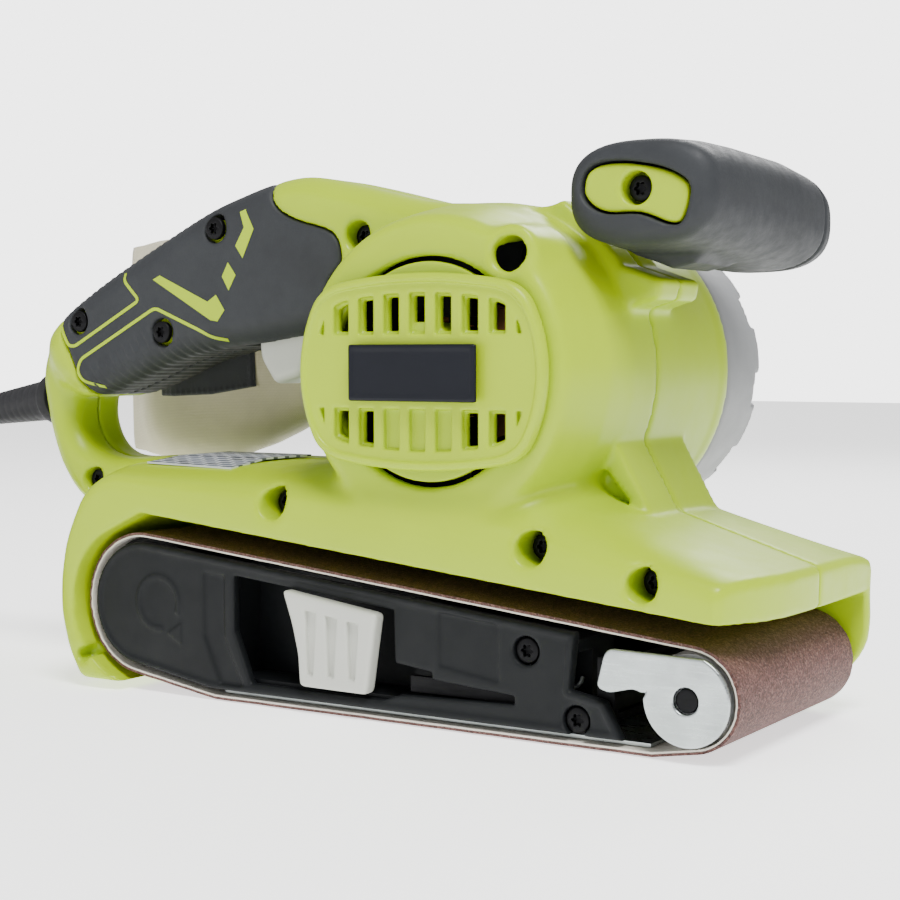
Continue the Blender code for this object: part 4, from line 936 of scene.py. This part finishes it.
def make_lever():
    g = Field((-36.0, -42.5, 4.0), (0.0, -35.0, 36.0), grid_step(0.4))
    outline = rounded([(-34, 33.4), (-2.2, 29.0), (-5.6, 7.0), (-28, 7.2), (-28.6, 16), (-30.6, 24)], 1.6)
    flat = g.side(outline)
    swell = 0.9 * np.cos((g.x + 17.0) / 17.0 * 1.2) - 0.5
    body = smax(flat, np.maximum(-40.9 - swell * 0.4 - g.y, g.y + 36.0), 1.6)
    for i in range(3):
        x = -25.2 + 7.0 * i
        shape = [(x - 0.6, 28.2 - i), (x + 2.9, 27.8 - i), (x + 1.8, 10.6), (x + 0.2, 10.6)]
        groove = np.maximum(g.side(shape), g.y + 39.4)
        body = smax(body, -groove, 1.0)
    skin("lever", body, g, "pale", "tension_lever", ["tension_lever"])


def make_trigger():
    g = Field((-74.0, -7.0, 85.0), (-44.0, 15.0, 112.0), grid_step(0.5))
    outline = rounded([(-70.6, 101.6), (-70.2, 96.6), (-64.6, 88.6), (-54.4, 91.4), (-51.6, 101.4),
                       (-48.2, 106),
                       (-50, 110), (-53, 110), (-70.0, 107)], 2.2)
    body = g.plate(g.side(outline), PART_Y - 8.6, PART_Y + 8.6, 2.6)
    skin("trigger_key", body, g, "pale", "trigger", ["trigger"])


def make_knob():
    g = Field((60.0, 38.0, 12.0), (84.0, 57.0, 36.0), grid_step(0.45))
    angle = np.arctan2(g.z - 24.0, g.x - 72.0)
    flutes = 0.45 * np.cos(angle * 16)
    body = g.plate(g.disc((72.0, 24.0), 8.6) + flutes * 0.6, 45.4, 55.0, 1.2)
    body = np.minimum(body, g.plate(g.disc((72.0, 24.0), 3.0), 40.6, 46.0, 0.0))
    arrow = g.side([(72.0, 29.5), (69.8, 25.8), (74.2, 25.8)])
    body = smax(body, -np.maximum(arrow, 54.3 - g.y), 0.4)
    skin("tracking_dial", body, g, "black", "tracking_knob", ["tracking_knob"])


# ---- turned pieces -------------------------------------------------------------------------------
def lathe(name, profile, start, axis, look, body="frame", nodes=(), steps=40, warp=None):
    """Solid of revolution about a line; warp(along, turn) changes the radius."""
    direction = Vector(axis).normalized()
    side = direction.cross(Vector((0, 0, 1)))
    if side.length < 0.1:
        side = Vector((1, 0, 0))
    side.normalize()
    other = direction.cross(side)
    bm = bmesh.new()
    rings = []
    for along, radius in profile:
        ring = []
        for i in range(steps):
            a = 2 * math.pi * i / steps
            r = radius + (warp(along, a) if warp else 0.0)
            ring.append(bm.verts.new((Vector(start) + direction * along
                                      + (side * math.cos(a) + other * math.sin(a)) * r) * MM))
        rings.append(ring)
    bm.faces.new(rings[0])
    bm.faces.new(rings[-1])
    for a, b in zip(rings, rings[1:]):
        for i in range(steps):
            k = (i + 1) % steps
            bm.faces.new((a[i], a[k], b[k], b[i]))
    bmesh.ops.recalc_face_normals(bm, faces=bm.faces)
    mesh = bpy.data.meshes.new(name)
    bm.to_mesh(mesh)
    bm.free()
    mesh.shade_smooth()
    mesh.set_sharp_from_angle(angle=math.radians(40))
    return add_piece(name, mesh, look, body, nodes)


SCREWS = [
    ("handle_front", -27.5, -9.5, 131.2), ("barrel_top", 37.5, -27.9, 123.0),
    ("deck_rear", -36.0, -27.5, 57.0),
    ("deck_front", 45.5, -30.5, 49.2), ("nose", 76.5, -30.5, 42.2), ("leg_foot", -134.0, -7.0, 58.0),
    ("grip_front", -79.5, -14.1, 135.2), ("grip_middle", -100.8, -14.1, 104.6),
    ("grip_rear", -136.0, -13.1, 108.2),
    ("frame_1", 42.0, -37.6, 22.8), ("frame_2", 56.5, -37.6, 6.6), ("front_grip", 66.0, -22.9, 139.0),
]


# How far each dark head is raised in its deck well, so its painted shade stands where the well turns dark.
PAINTED_SHADE_RISE = {"deck_rear": 8.0, "deck_front": 5.0, "nose": 4.5, "barrel_top": 0.0}


def make_screws():
    """Heads with a six-lobed recess, near black as painted shade for the dark holes; in the deep deck wells
    the heads are raised towards the opening, so their dark fills the well's shaded depth.
    """
    for name, x, y, z in SCREWS:
        rise = PAINTED_SHADE_RISE.get(name, 0.0)
        y = y - rise
        g = Field((x - 4.0, y - 1.0, z - 4.0), (x + 4.0, y + rise + 4.2, z + 4.0),
                  grid_step(0.25))
        head = g.disc((x, z), 3.3)
        dome = y + 0.55 * ((head + 3.3) / 3.3) ** 2 - g.y
        body = smax(np.maximum(head, g.y - y - rise - 2.2), dome, 0.4)
        angle = np.arctan2(g.z - z, g.x - x)
        recess = head + 3.3 - 1.45 - 0.32 * np.cos(6 * angle)
        body = smax(body, -np.maximum(recess, g.y - y - 1.7), 0.15)
        body = np.minimum(body, g.plate(g.disc((x, z), 1.7), y + rise + 1.8, y + rise + 3.2, 0.0))
        # The near-black colour of every head is painted shade for the dark of its hole.
        skin("fastener_" + name, body, g, "dark_steel_and_painted_shade", "frame", ["screw_" + name])


# ---- cord ----------------------------------------------------------------------------------------
CORD_D = 7.0
COIL = (-254.0, -46.0)
LANES = (31.2, 38.5, 45.8)
LAYERS = (3.6, 10.9, 18.2, 25.5)
CORD_ROUTE = [
    (-205.3, 4.0, 77.2), (-213.9, 4.4, 74.7), (-221.4, 5.8, 70.0), (-227.4, 7.8, 63.4), (-231.3, 9.8, 55.4),
    (-233.8, 11.8, 47.6), (-238.3, 14.2, 38.7), (-245.4, 16.1, 31.6), (-254.3, 14.6, 27.1),
    (-261.0, 10.9, 25.7),
    (-266.2, 6.2, 25.5),
]
TAIL_ROUTE = [
    (-217.0, -83.5, 3.7), (-212.2, -82.2, 4.3), (-207.4, -80.9, 6.1), (-202.6, -79.6, 8.6),
    (-197.7, -78.3, 10.8),
    (-192.9, -77.0, 11.9), (-188.0, -75.7, 12.2),
]


def coil_points():
    """Turns laid beside and on each other: in along the top layer, then down layer by layer."""
    points = []
    lanes = []
    for level, z in enumerate(reversed(LAYERS)):
        row = LANES[::-1] if level % 2 == 0 else LANES
        lanes += [(r, z) for r in row]
    start, step = 135.0, 12.0
    total = 360.0 * (len(lanes) - 1) + 150.0
    ease = 70.0
    travelled = 0.0
    while travelled <= total + 0.1:
        lane = min(int(travelled // 360.0), len(lanes) - 1)
        r, z = lanes[lane]
        into = travelled - 360.0 * lane
        if lane and into < ease:
            t = into / ease
            t = t * t * (3 - 2 * t)
            pr, pz = lanes[lane - 1]
            r, z = pr + (r - pr) * t, pz + (z - pz) * t
        a = math.radians(start + travelled)
        points.append((COIL[0] + r * math.cos(a), COIL[1] + r * math.sin(a), z))
        travelled += step
    return points


def make_cord():
    coil = coil_points()
    route = CORD_ROUTE[:-1] + coil + TAIL_ROUTE[1:]
    dense = curve_through(route, 3, closed=False)
    data = bpy.data.curves.new("mains_cord", "CURVE")
    data.dimensions = "3D"
    data.bevel_depth = CORD_D / 2 * MM
    data.bevel_resolution = 3
    data.use_fill_caps = True
    spline = data.splines.new("POLY")
    spline.points.add(len(dense) - 1)
    for slot, p in zip(spline.points, dense):
        slot.co = (p[0] * MM, p[1] * MM, p[2] * MM, 1.0)
    cord = add_piece("mains_cord", data, "rubber", "frame", ["power_cord", "cord_coil", "cord_tail"])
    length = sum(math.dist(a, b) for a, b in zip(dense, dense[1:])) * MM
    return cord, length


def make_strain_relief():
    """Gland collar, then a tapered boot with bend-relief rings."""
    start, axis = (-152.0, PART_Y, 84.6), (-0.99, 0.0, -0.137)
    profile = [(0, 6.5), (5.0, 6.5), (8.2, 7.0), (8.5, 8.0), (9.2, 8.4), (11.4, 8.4), (12.2, 8.0),
               (13.6, 6.9)]
    for k in range(12):
        along = 15.5 + 3.0 * k
        radius = 6.75 - (along - 14.0) * 0.062
        profile += [(along, radius), (along + 1.6, radius - 0.1), (along + 2.0, radius - 0.25),
                    (along + 2.6, radius - 0.25)]
    profile += [(52.0, 4.5), (53.0, 4.2), (53.4, 3.8)]
    lathe("cord_boot", profile, start, axis, "rubber", "frame", ["strain_relief"], 32)


def make_plug():
    """Moulded two-blade plug with grip ribs, lying on its side by the coil."""
    tip = Vector(TAIL_ROUTE[-1])
    heading = (Vector(TAIL_ROUTE[-1]) - Vector(TAIL_ROUTE[-2]))
    heading.z = 0.0
    heading.normalize()
    across = Vector((-heading.y, heading.x, 0.0))
    profile = [(-0.2, 4.3), (1.0, 4.6), (9.0, 5.6), (10.5, 8.6), (12.5, 10.9), (26.0, 11.6), (28.6, 11.2),
               (30.0, 9.8)]

    def squeeze(along, a):
        grip = 0.35 * math.cos(2 * math.pi * along / 2.6) if 13.5 < along < 24.0 else 0.0
        return -0.9 * abs(math.sin(a)) ** 6 * (along > 11) + grip * (abs(math.sin(a)) > 0.5)

    fine = []
    for (a0, r0), (a1, r1) in zip(profile, profile[1:]):
        pieces = max(1, int((a1 - a0) / 0.65))
        fine += [(a0 + (a1 - a0) * k / pieces, r0 + (r1 - r0) * k / pieces) for k in range(pieces)]
    fine.append(profile[-1])
    plug = lathe("plug", fine, tip, heading, "black", "frame", ["plug_body"], 40, squeeze)
    bm = bmesh.new()
    for side in (-1, 1):
        outline = [(29.0, -3.1), (45.4, -3.1), (47.0, -1.6), (47.0, 1.6), (45.4, 3.1), (29.0, 3.1)]
        rows = []
        for offset in (-0.75, 0.75):
            shift = across * (side * 6.35 + offset)
            rows.append([bm.verts.new((tip + heading * a + shift + Vector((0, 0, h))) * MM)
                         for a, h in outline])
        bm.faces.new(rows[0])
        bm.faces.new(rows[1])
        for i in range(len(outline)):
            k = (i + 1) % len(outline)
            bm.faces.new((rows[0][i], rows[0][k], rows[1][k], rows[1][i]))
    bmesh.ops.recalc_face_normals(bm, faces=bm.faces)
    bmesh.ops.bevel(bm, geom=bm.edges[:], offset=0.18 * MM, segments=2, affect="EDGES", profile=0.6)
    mesh = bpy.data.meshes.new("blades")
    bm.to_mesh(mesh)
    bm.free()
    mesh.shade_smooth()
    mesh.set_sharp_from_angle(angle=math.radians(50))
    blades = add_piece("blades", mesh, "brass", "frame", ["plug_blades"])
    return plug, blades


# ---- dust bag ------------------------------------------------------------------------------------
BAG_STATIONS = [
    # x, middle y, middle z, half width, half height
    (-62.6, 36.7, 98.0, 10.2, 10.2), (-66.0, 37.8, 98.0, 11.4, 12.0), (-72.0, 40.3, 98.0, 14.2, 15.6),
    (-90.0, 46.5, 97.5, 19.6, 23.0), (-115.0, 50.5, 97.8, 23.6, 33.0), (-132.0, 52.0, 98.6, 24.4, 37.0),
    (-144.0, 52.4, 98.8, 22.0, 38.4), (-152.0, 52.5, 99.2, 17.5, 38.6), (-160.0, 52.5, 99.4, 11.0, 38.2),
    (-167.0, 52.5, 99.6, 5.0, 37.8), (-173.5, 52.5, 99.8, 2.2, 37.2),
]


def bag_section(a, box):
    """Outline of the bag at one turn angle, from round (0) to boxy (1)."""
    power = 2.0 + 1.3 * box
    c, d = abs(math.cos(a)), abs(math.sin(a))
    return (c ** power + d ** power) ** (-1 / power)


def make_bag():
    """Filled cloth bag: gathered at the collar, sewn flat across its rear end, seams above and below."""
    rows = np.array(BAG_STATIONS)
    turns, length = 96, 84
    bm = bmesh.new()
    rings = []
    for i in range(length + 1):
        t = i / length
        x = rows[0, 0] + (rows[-1, 0] - rows[0, 0]) * (t ** 0.9)
        cy, cz, hy, hz = (np.interp(-x, -rows[:, 0], rows[:, k]) for k in (1, 2, 3, 4))
        ring = []
        gather = math.exp(-((t - 0.04) / 0.10) ** 2)
        slack = math.sin(math.pi * min(1.0, max(0.0, t))) ** 0.7
        for k in range(turns):
            a = 2 * math.pi * k / turns
            fold = 0.075 * gather * math.cos(13 * a)
            sag = 0.03 * slack * math.sin(3 * a + 4.0 * t) + 0.022 * slack * math.sin(5 * a - 7.0 * t + 1.0)
            seam = -0.035 * math.exp(-(math.sin(a - math.pi / 2) / 0.06) ** 2) * (math.sin(a) > 0)
            seam -= 0.035 * math.exp(-(math.sin(a + math.pi / 2) / 0.06) ** 2) * (math.sin(a) < 0)
            crease = 0.012 * slack * math.sin(9 * a + 11.0 * t + 2.0 * math.sin(3.0 * a))
            r = (1.0 + fold + sag + seam * slack + crease + 0.01) * bag_section(a, min(1.0, t * 2.2))
            ring.append(bm.verts.new(Vector((x, cy + hy * r * math.cos(a), cz + hz * r * math.sin(a))) * MM))
        rings.append(ring)
    bm.faces.new(rings[0])
    bm.faces.new(rings[-1])
    for a, b in zip(rings, rings[1:]):
        for k in range(turns):
            m = (k + 1) % turns
            bm.faces.new((a[k], a[m], b[m], b[k]))
    bmesh.ops.recalc_face_normals(bm, faces=bm.faces)
    mesh = bpy.data.meshes.new("bag")
    bm.to_mesh(mesh)
    bm.free()
    mesh.shade_smooth()
    return add_piece("bag", mesh, "cloth", "dust_bag", ["dust_bag"])


# the cloth's even mesh, the held ends and the largest move in mm, then the number of frames
WEAVE, HELD_FRONT, HELD_REAR, LARGEST_MOVE, FRAMES = 4.0, 7.0, 3.0, 4.0, 18


def inflate(bag):
    """Let the cloth fill with air: a short simulation held at both ends, kept close to its start."""
    source = bag.data
    remesh = bag.modifiers.new("even_weave", "REMESH")
    remesh.mode = "VOXEL"
    remesh.voxel_size = WEAVE * MM
    bpy.context.view_layer.update()
    even = bpy.data.meshes.new_from_object(bag.evaluated_get(bpy.context.evaluated_depsgraph_get()))
    bag.modifiers.remove(remesh)
    worker = bpy.data.objects.new("bag_cloth_worker", even)
    bpy.context.scene.collection.objects.link(worker)
    worker.matrix_world = bag.matrix_world.copy()
    pins = worker.vertex_groups.new(name="held")
    start = np.empty(len(even.vertices) * 3)
    even.vertices.foreach_get("co", start)
    start = start.reshape(-1, 3)
    lowest, highest = start[:, 0].min(), start[:, 0].max()
    ends = (start[:, 0] > highest - HELD_FRONT * MM) | (start[:, 0] < lowest + HELD_REAR * MM)
    held = [int(i) for i in np.nonzero(ends)[0]]
    pins.add(held, 1.0, "REPLACE")
    cloth = worker.modifiers.new("air", "CLOTH")
    cloth.settings.quality = 6
    cloth.settings.mass = 0.15
    cloth.settings.use_pressure = True
    cloth.settings.uniform_pressure_force = 3.0
    cloth.settings.tension_stiffness = 12.0
    cloth.settings.bending_stiffness = 0.3
    cloth.settings.vertex_group_mass = "held"
    cloth.settings.effector_weights.gravity = 0.0
    scene = bpy.context.scene
    for frame_number in range(1, FRAMES + 1):
        scene.frame_set(frame_number)
    blown = bpy.data.meshes.new_from_object(worker.evaluated_get(bpy.context.evaluated_depsgraph_get()))
    scene.frame_set(1)
    after = np.empty(len(blown.vertices) * 3)
    blown.vertices.foreach_get("co", after)
    move = after.reshape(-1, 3) - start
    far = np.maximum(np.linalg.norm(move, axis=1, keepdims=True), 1e-9)
    settled = start + move * np.minimum(1.0, LARGEST_MOVE * MM / far)
    bpy.data.objects.remove(worker)
    bm = bmesh.new()
    bm.from_mesh(blown)
    for vert, place in zip(bm.verts, settled):
        vert.co = place
    for _ in range(2):
        bmesh.ops.smooth_vert(bm, verts=bm.verts, factor=0.5, use_axis_x=True, use_axis_y=True,
                              use_axis_z=True)
    bm.to_mesh(source)
    bm.free()
    source.shade_smooth()


def bag_point(x, a, lift):
    rows = np.array(BAG_STATIONS)
    cy, cz, hy, hz = (np.interp(-x, -rows[:, 0], rows[:, k]) for k in (1, 2, 3, 4))
    t = ((rows[0, 0] - x) / (rows[0, 0] - rows[-1, 0])) ** (1 / 0.9)
    r = bag_section(a, min(1.0, t * 2.2))
    return Vector((x, cy + (hy * r + lift) * math.cos(a), cz + (hz * r + lift) * math.sin(a)))


def make_patch():
    """Plain dark patch sewn to the bag's inner side, with a raised hem and stitches."""
    bm = bmesh.new()
    across, along = 40, 52
    rows = []
    for i in range(along + 1):
        x = -96.5 - 42.0 * i / along
        row = []
        for k in range(across + 1):
            a = math.pi + 0.38 - 0.86 * k / across
            rim = min(i, along - i, k, across - k)
            lift = 0.5 if rim == 0 else (1.5 if rim < 3 else 1.25)
            if rim == 2 and (i + k) % 3 == 0:
                lift = 1.1
            row.append(bm.verts.new(bag_point(x, a, lift) * MM))
        rows.append(row)
    for a, b in zip(rows, rows[1:]):
        for k in range(across):
            bm.faces.new((a[k], a[k + 1], b[k + 1], b[k]))
    mesh = bpy.data.meshes.new("bag_patch")
    bm.to_mesh(mesh)
    bm.free()
    mesh.shade_smooth()
    patch = add_piece("bag_patch", mesh, "patch", "dust_bag")


def make_collar():
    start = (-44.2, PORT[0], PORT[1])
    profile = [(0.0, 10.9), (0.0, 12.2), (0.6, 12.6)]
    for k in range(4):
        a = 2.0 + 3.2 * k
        profile += [(a, 12.6), (a + 0.4, 12.0), (a + 1.6, 12.0), (a + 2.0, 12.6)]
    profile += [(16.8, 12.6), (17.8, 12.2), (17.8, 10.9)]
    lathe("collar", profile, start, (-1, 0, 0), "black", "dust_bag", ["bag_collar"], 48)


# ---- accents -------------------------------------------------------------------------------------
def handle_surface(points, lift):
    """Points on the near face of the grip, found by walking in from outside."""
    g = Field((-156.0, -16.0, 76.0), (-30.0, 5.0, 152.0), 1.0)
    handle = handle_field(g)
    spots = np.array([(x, -15.5, z) for x, z in points])
    for _ in range(14):
        spots[:, 1] += np.clip(sample(handle, g, spots), 0.0, 4.0)
    spots[:, 1] -= lift
    return spots


def inlay(name, outline, lift=0.12, width=None):
    """Lime strip set into the grip: a filled outline, or a line of given width."""
    bm = bmesh.new()
    if width:
        left, right = [], []
        for k, p in enumerate(outline):
            a = outline[max(0, k - 1)]
            b = outline[min(len(outline) - 1, k + 1)]
            dx, dz = b[0] - a[0], b[1] - a[1]
            size = math.hypot(dx, dz)
            nx, nz = -dz / size * width / 2, dx / size * width / 2
            left.append((p[0] + nx, p[1] + nz))
            right.append((p[0] - nx, p[1] - nz))
        strips = [handle_surface(left, lift), handle_surface(right, lift)]
        under = [handle_surface(left, -0.5), handle_surface(right, -0.5)]
        loops = [strips[0], strips[1], under[1], under[0]]
        rows = [[bm.verts.new(Vector(p) * MM) for p in loop] for loop in loops]
        for a, b in zip(rows, rows[1:] + rows[:1]):
            for i in range(len(a) - 1):
                bm.faces.new((a[i], a[i + 1], b[i + 1], b[i]))
        bm.faces.new([r[0] for r in rows])
        bm.faces.new([r[-1] for r in rows])
    else:
        top = handle_surface(outline, lift)
        low = handle_surface(outline, -0.5)
        a = [bm.verts.new(Vector(p) * MM) for p in top]
        b = [bm.verts.new(Vector(p) * MM) for p in low]
        bm.faces.new(a)
        bm.faces.new(b)
        for i in range(len(a)):
            k = (i + 1) % len(a)
            bm.faces.new((a[i], a[k], b[k], b[i]))
    bmesh.ops.recalc_face_normals(bm, faces=bm.faces)
    mesh = bpy.data.meshes.new(name)
    bm.to_mesh(mesh)
    bm.free()
    piece = add_piece(name, mesh, "lime", "frame")
    return piece


def dense_outline(points, step=1.2):
    result = []
    for a, b in zip(points, points[1:] + points[:1]):
        pieces = max(1, int(math.dist(a, b) / step))
        result += [(a[0] + (b[0] - a[0]) * i / pieces,
                    a[1] + (b[1] - a[1]) * i / pieces) for i in range(pieces)]
    return result


def dense_line(points, step=1.5):
    result = [points[0]]
    for a, b in zip(points, points[1:]):
        pieces = max(1, int(math.dist(a, b) / step))
        result += [(a[0] + (b[0] - a[0]) * i / pieces, a[1] + (b[1] - a[1]) * i / pieces)
                   for i in range(1, pieces + 1)]
    return [p for k, p in enumerate(result) if k == 0 or math.dist(p, result[k - 1]) > 0.05]


def make_accents():
    inlay("accent_hook", dense_outline([(-103.9, 120.6), (-101.1, 121.8), (-82.3, 113.5), (-79.0, 115.5),
                                        (-75.8, 110.9), (-78.5, 107.6), (-81.2, 108.0)]))
    inlay("accent_arrow", dense_outline([(-69.7, 139.7), (-67.6, 140.4), (-64.5, 134.5), (-68.7, 126.1),
                                         (-71.4, 129.8), (-68.1, 135.1)]))
    inlay("accent_mark", dense_outline([(-74.3, 125.0), (-71.4, 121.2), (-74.1, 116.7), (-76.6, 120.9)]))
    for name, corners in (
            ("rear", [(-116.4, 122.9), (-115.8, 120.5), (-109.6, 114.4), (-136.9, 100.4), (-139.6, 100.6),
                      (-143.0, 106.2)]),
            ("low", [(-76.6, 102.0), (-81.5, 102.8), (-86.0, 105.2), (-103.2, 112.0), (-134.6, 96.2),
                     (-136.0, 92.6),
                     (-134.0, 89.4), (-127.0, 87.6)])):
        line = [corners[0]]
        for before, here, after in zip(corners, corners[1:], corners[2:]):
            line += rounded([before, here, after], 1.8, 4)[5:10]
        line.append(corners[-1])
        inlay("accent_line_" + name, dense_line(line), 0.16, 1.0)


# ---- the rest of the frame -----------------------------------------------------------------------
CARRIED = {
    "base_frame": "black", "platen_plate": "steel", "platen_pad": "rubber", "rear_drum": "rubber",
    "drum_shaft": "steel", "drum_bearing": "steel", "front_roller": "alloy", "roller_axle": "steel",
    # The tension link is near black as painted shade for the dark slot it lies in.
    "tension_link": "dark_steel_and_painted_shade", "tension_spring": "steel", "stator": "steel", "armature": "copper",
    "cooling_fan": "black", "motor_bearing_near": "steel", "motor_bearing_far": "steel",
    "brush_ring": "black",
    "carbon_brush_upper": "rubber", "carbon_brush_lower": "rubber", "small_pulley": "steel",
    "large_pulley": "alloy", "drive_belt": "rubber", "switch_body": "black", "lock_on_button": "black",
    "dust_port": "black", "deck_label": "label",
}


def dress_carried():
    for node, look in CARRIED.items():
        thing = NODES[node]
        if thing.material_slots:
            for slot in thing.material_slots:
                slot.material = LOOKS[look].material
        else:
            thing.data.materials.append(LOOKS[look].material)
        bevel = thing.modifiers.new("eased_edges", "BEVEL")
        bevel.width = 0.25 * MM
        bevel.segments = 2
        bevel.limit_method = "ANGLE"
        bevel.angle_limit = math.radians(40)
        bevel.harden_normals = False


# ---- studio --------------------------------------------------------------------------------------
WHITE = (1.0, 1.0, 1.0, 1.0)
FLOOR_GLOW, SOFT_LIGHT, BACKDROP_LIGHT = 1.3, 0.55, 4.0


def make_studio():
    bm = bmesh.new()
    bmesh.ops.create_grid(bm, x_segments=1, y_segments=1, size=3.0)
    mesh = bpy.data.meshes.new("floor")
    bm.to_mesh(mesh)
    bm.free()
    floor = bpy.data.objects.new("floor", mesh)
    floor.location = (0.0, 0.0, -0.0004)
    bpy.context.scene.collection.objects.link(floor)
    look = Look("floor_paper", 0.9)
    look.shader.inputs["Base Color"].default_value = (0.93, 0.93, 0.93, 1.0)
    look.shader.inputs["Emission Color"].default_value = WHITE
    look.shader.inputs["Emission Strength"].default_value = FLOOR_GLOW
    floor.data.materials.append(look.material)
    world = bpy.data.worlds.new("studio")
    world.use_nodes = True
    tree = world.node_tree
    soft = tree.nodes["Background"]
    soft.inputs["Color"].default_value = WHITE
    soft.inputs["Strength"].default_value = SOFT_LIGHT
    backdrop = tree.nodes.new("ShaderNodeBackground")
    backdrop.inputs["Color"].default_value = WHITE
    backdrop.inputs["Strength"].default_value = BACKDROP_LIGHT
    blend = tree.nodes.new("ShaderNodeMixShader")
    tree.links.new(tree.nodes.new("ShaderNodeLightPath").outputs["Is Camera Ray"], blend.inputs["Fac"])
    tree.links.new(soft.outputs["Background"], blend.inputs[1])
    tree.links.new(backdrop.outputs["Background"], blend.inputs[2])
    tree.links.new(blend.outputs["Shader"], tree.nodes["World Output"].inputs["Surface"])
    bpy.context.scene.world = world
    for name, place, aim, size, power in (
            ("key", (0.45, -0.40, 1.15), (0.0, 0.0, 0.08), 0.5, 21.0),
            ("fill", (-0.55, -0.85, 0.45), (0.0, 0.0, 0.07), 0.7, 2.0),
            ("back", (-0.1, 0.9, 0.8), (0.0, 0.0, 0.10), 0.6, 8.0)):
        data = bpy.data.lights.new(name, "AREA")
        data.shape = "DISK"
        data.size = size
        data.energy = power
        lamp = bpy.data.objects.new(name, data)
        lamp.location = place
        lamp.rotation_euler = (Vector(aim) - Vector(place)).to_track_quat("-Z", "Y").to_euler()
        bpy.context.scene.collection.objects.link(lamp)


def build():
    cord, length = make_cord()
    make_strain_relief()
    plug, blades = make_plug()
    make_housing()
    make_grip()
    make_front_grip()
    make_end_cover()
    make_drive_cover()
    make_belt()
    make_side_frame()
    make_yoke()
    make_lever()
    make_trigger()
    make_knob()
    make_screws()
    bag = make_bag()
    inflate(bag)
    make_collar()
    make_patch()
    make_accents()
    dress_carried()
    make_studio()


build()
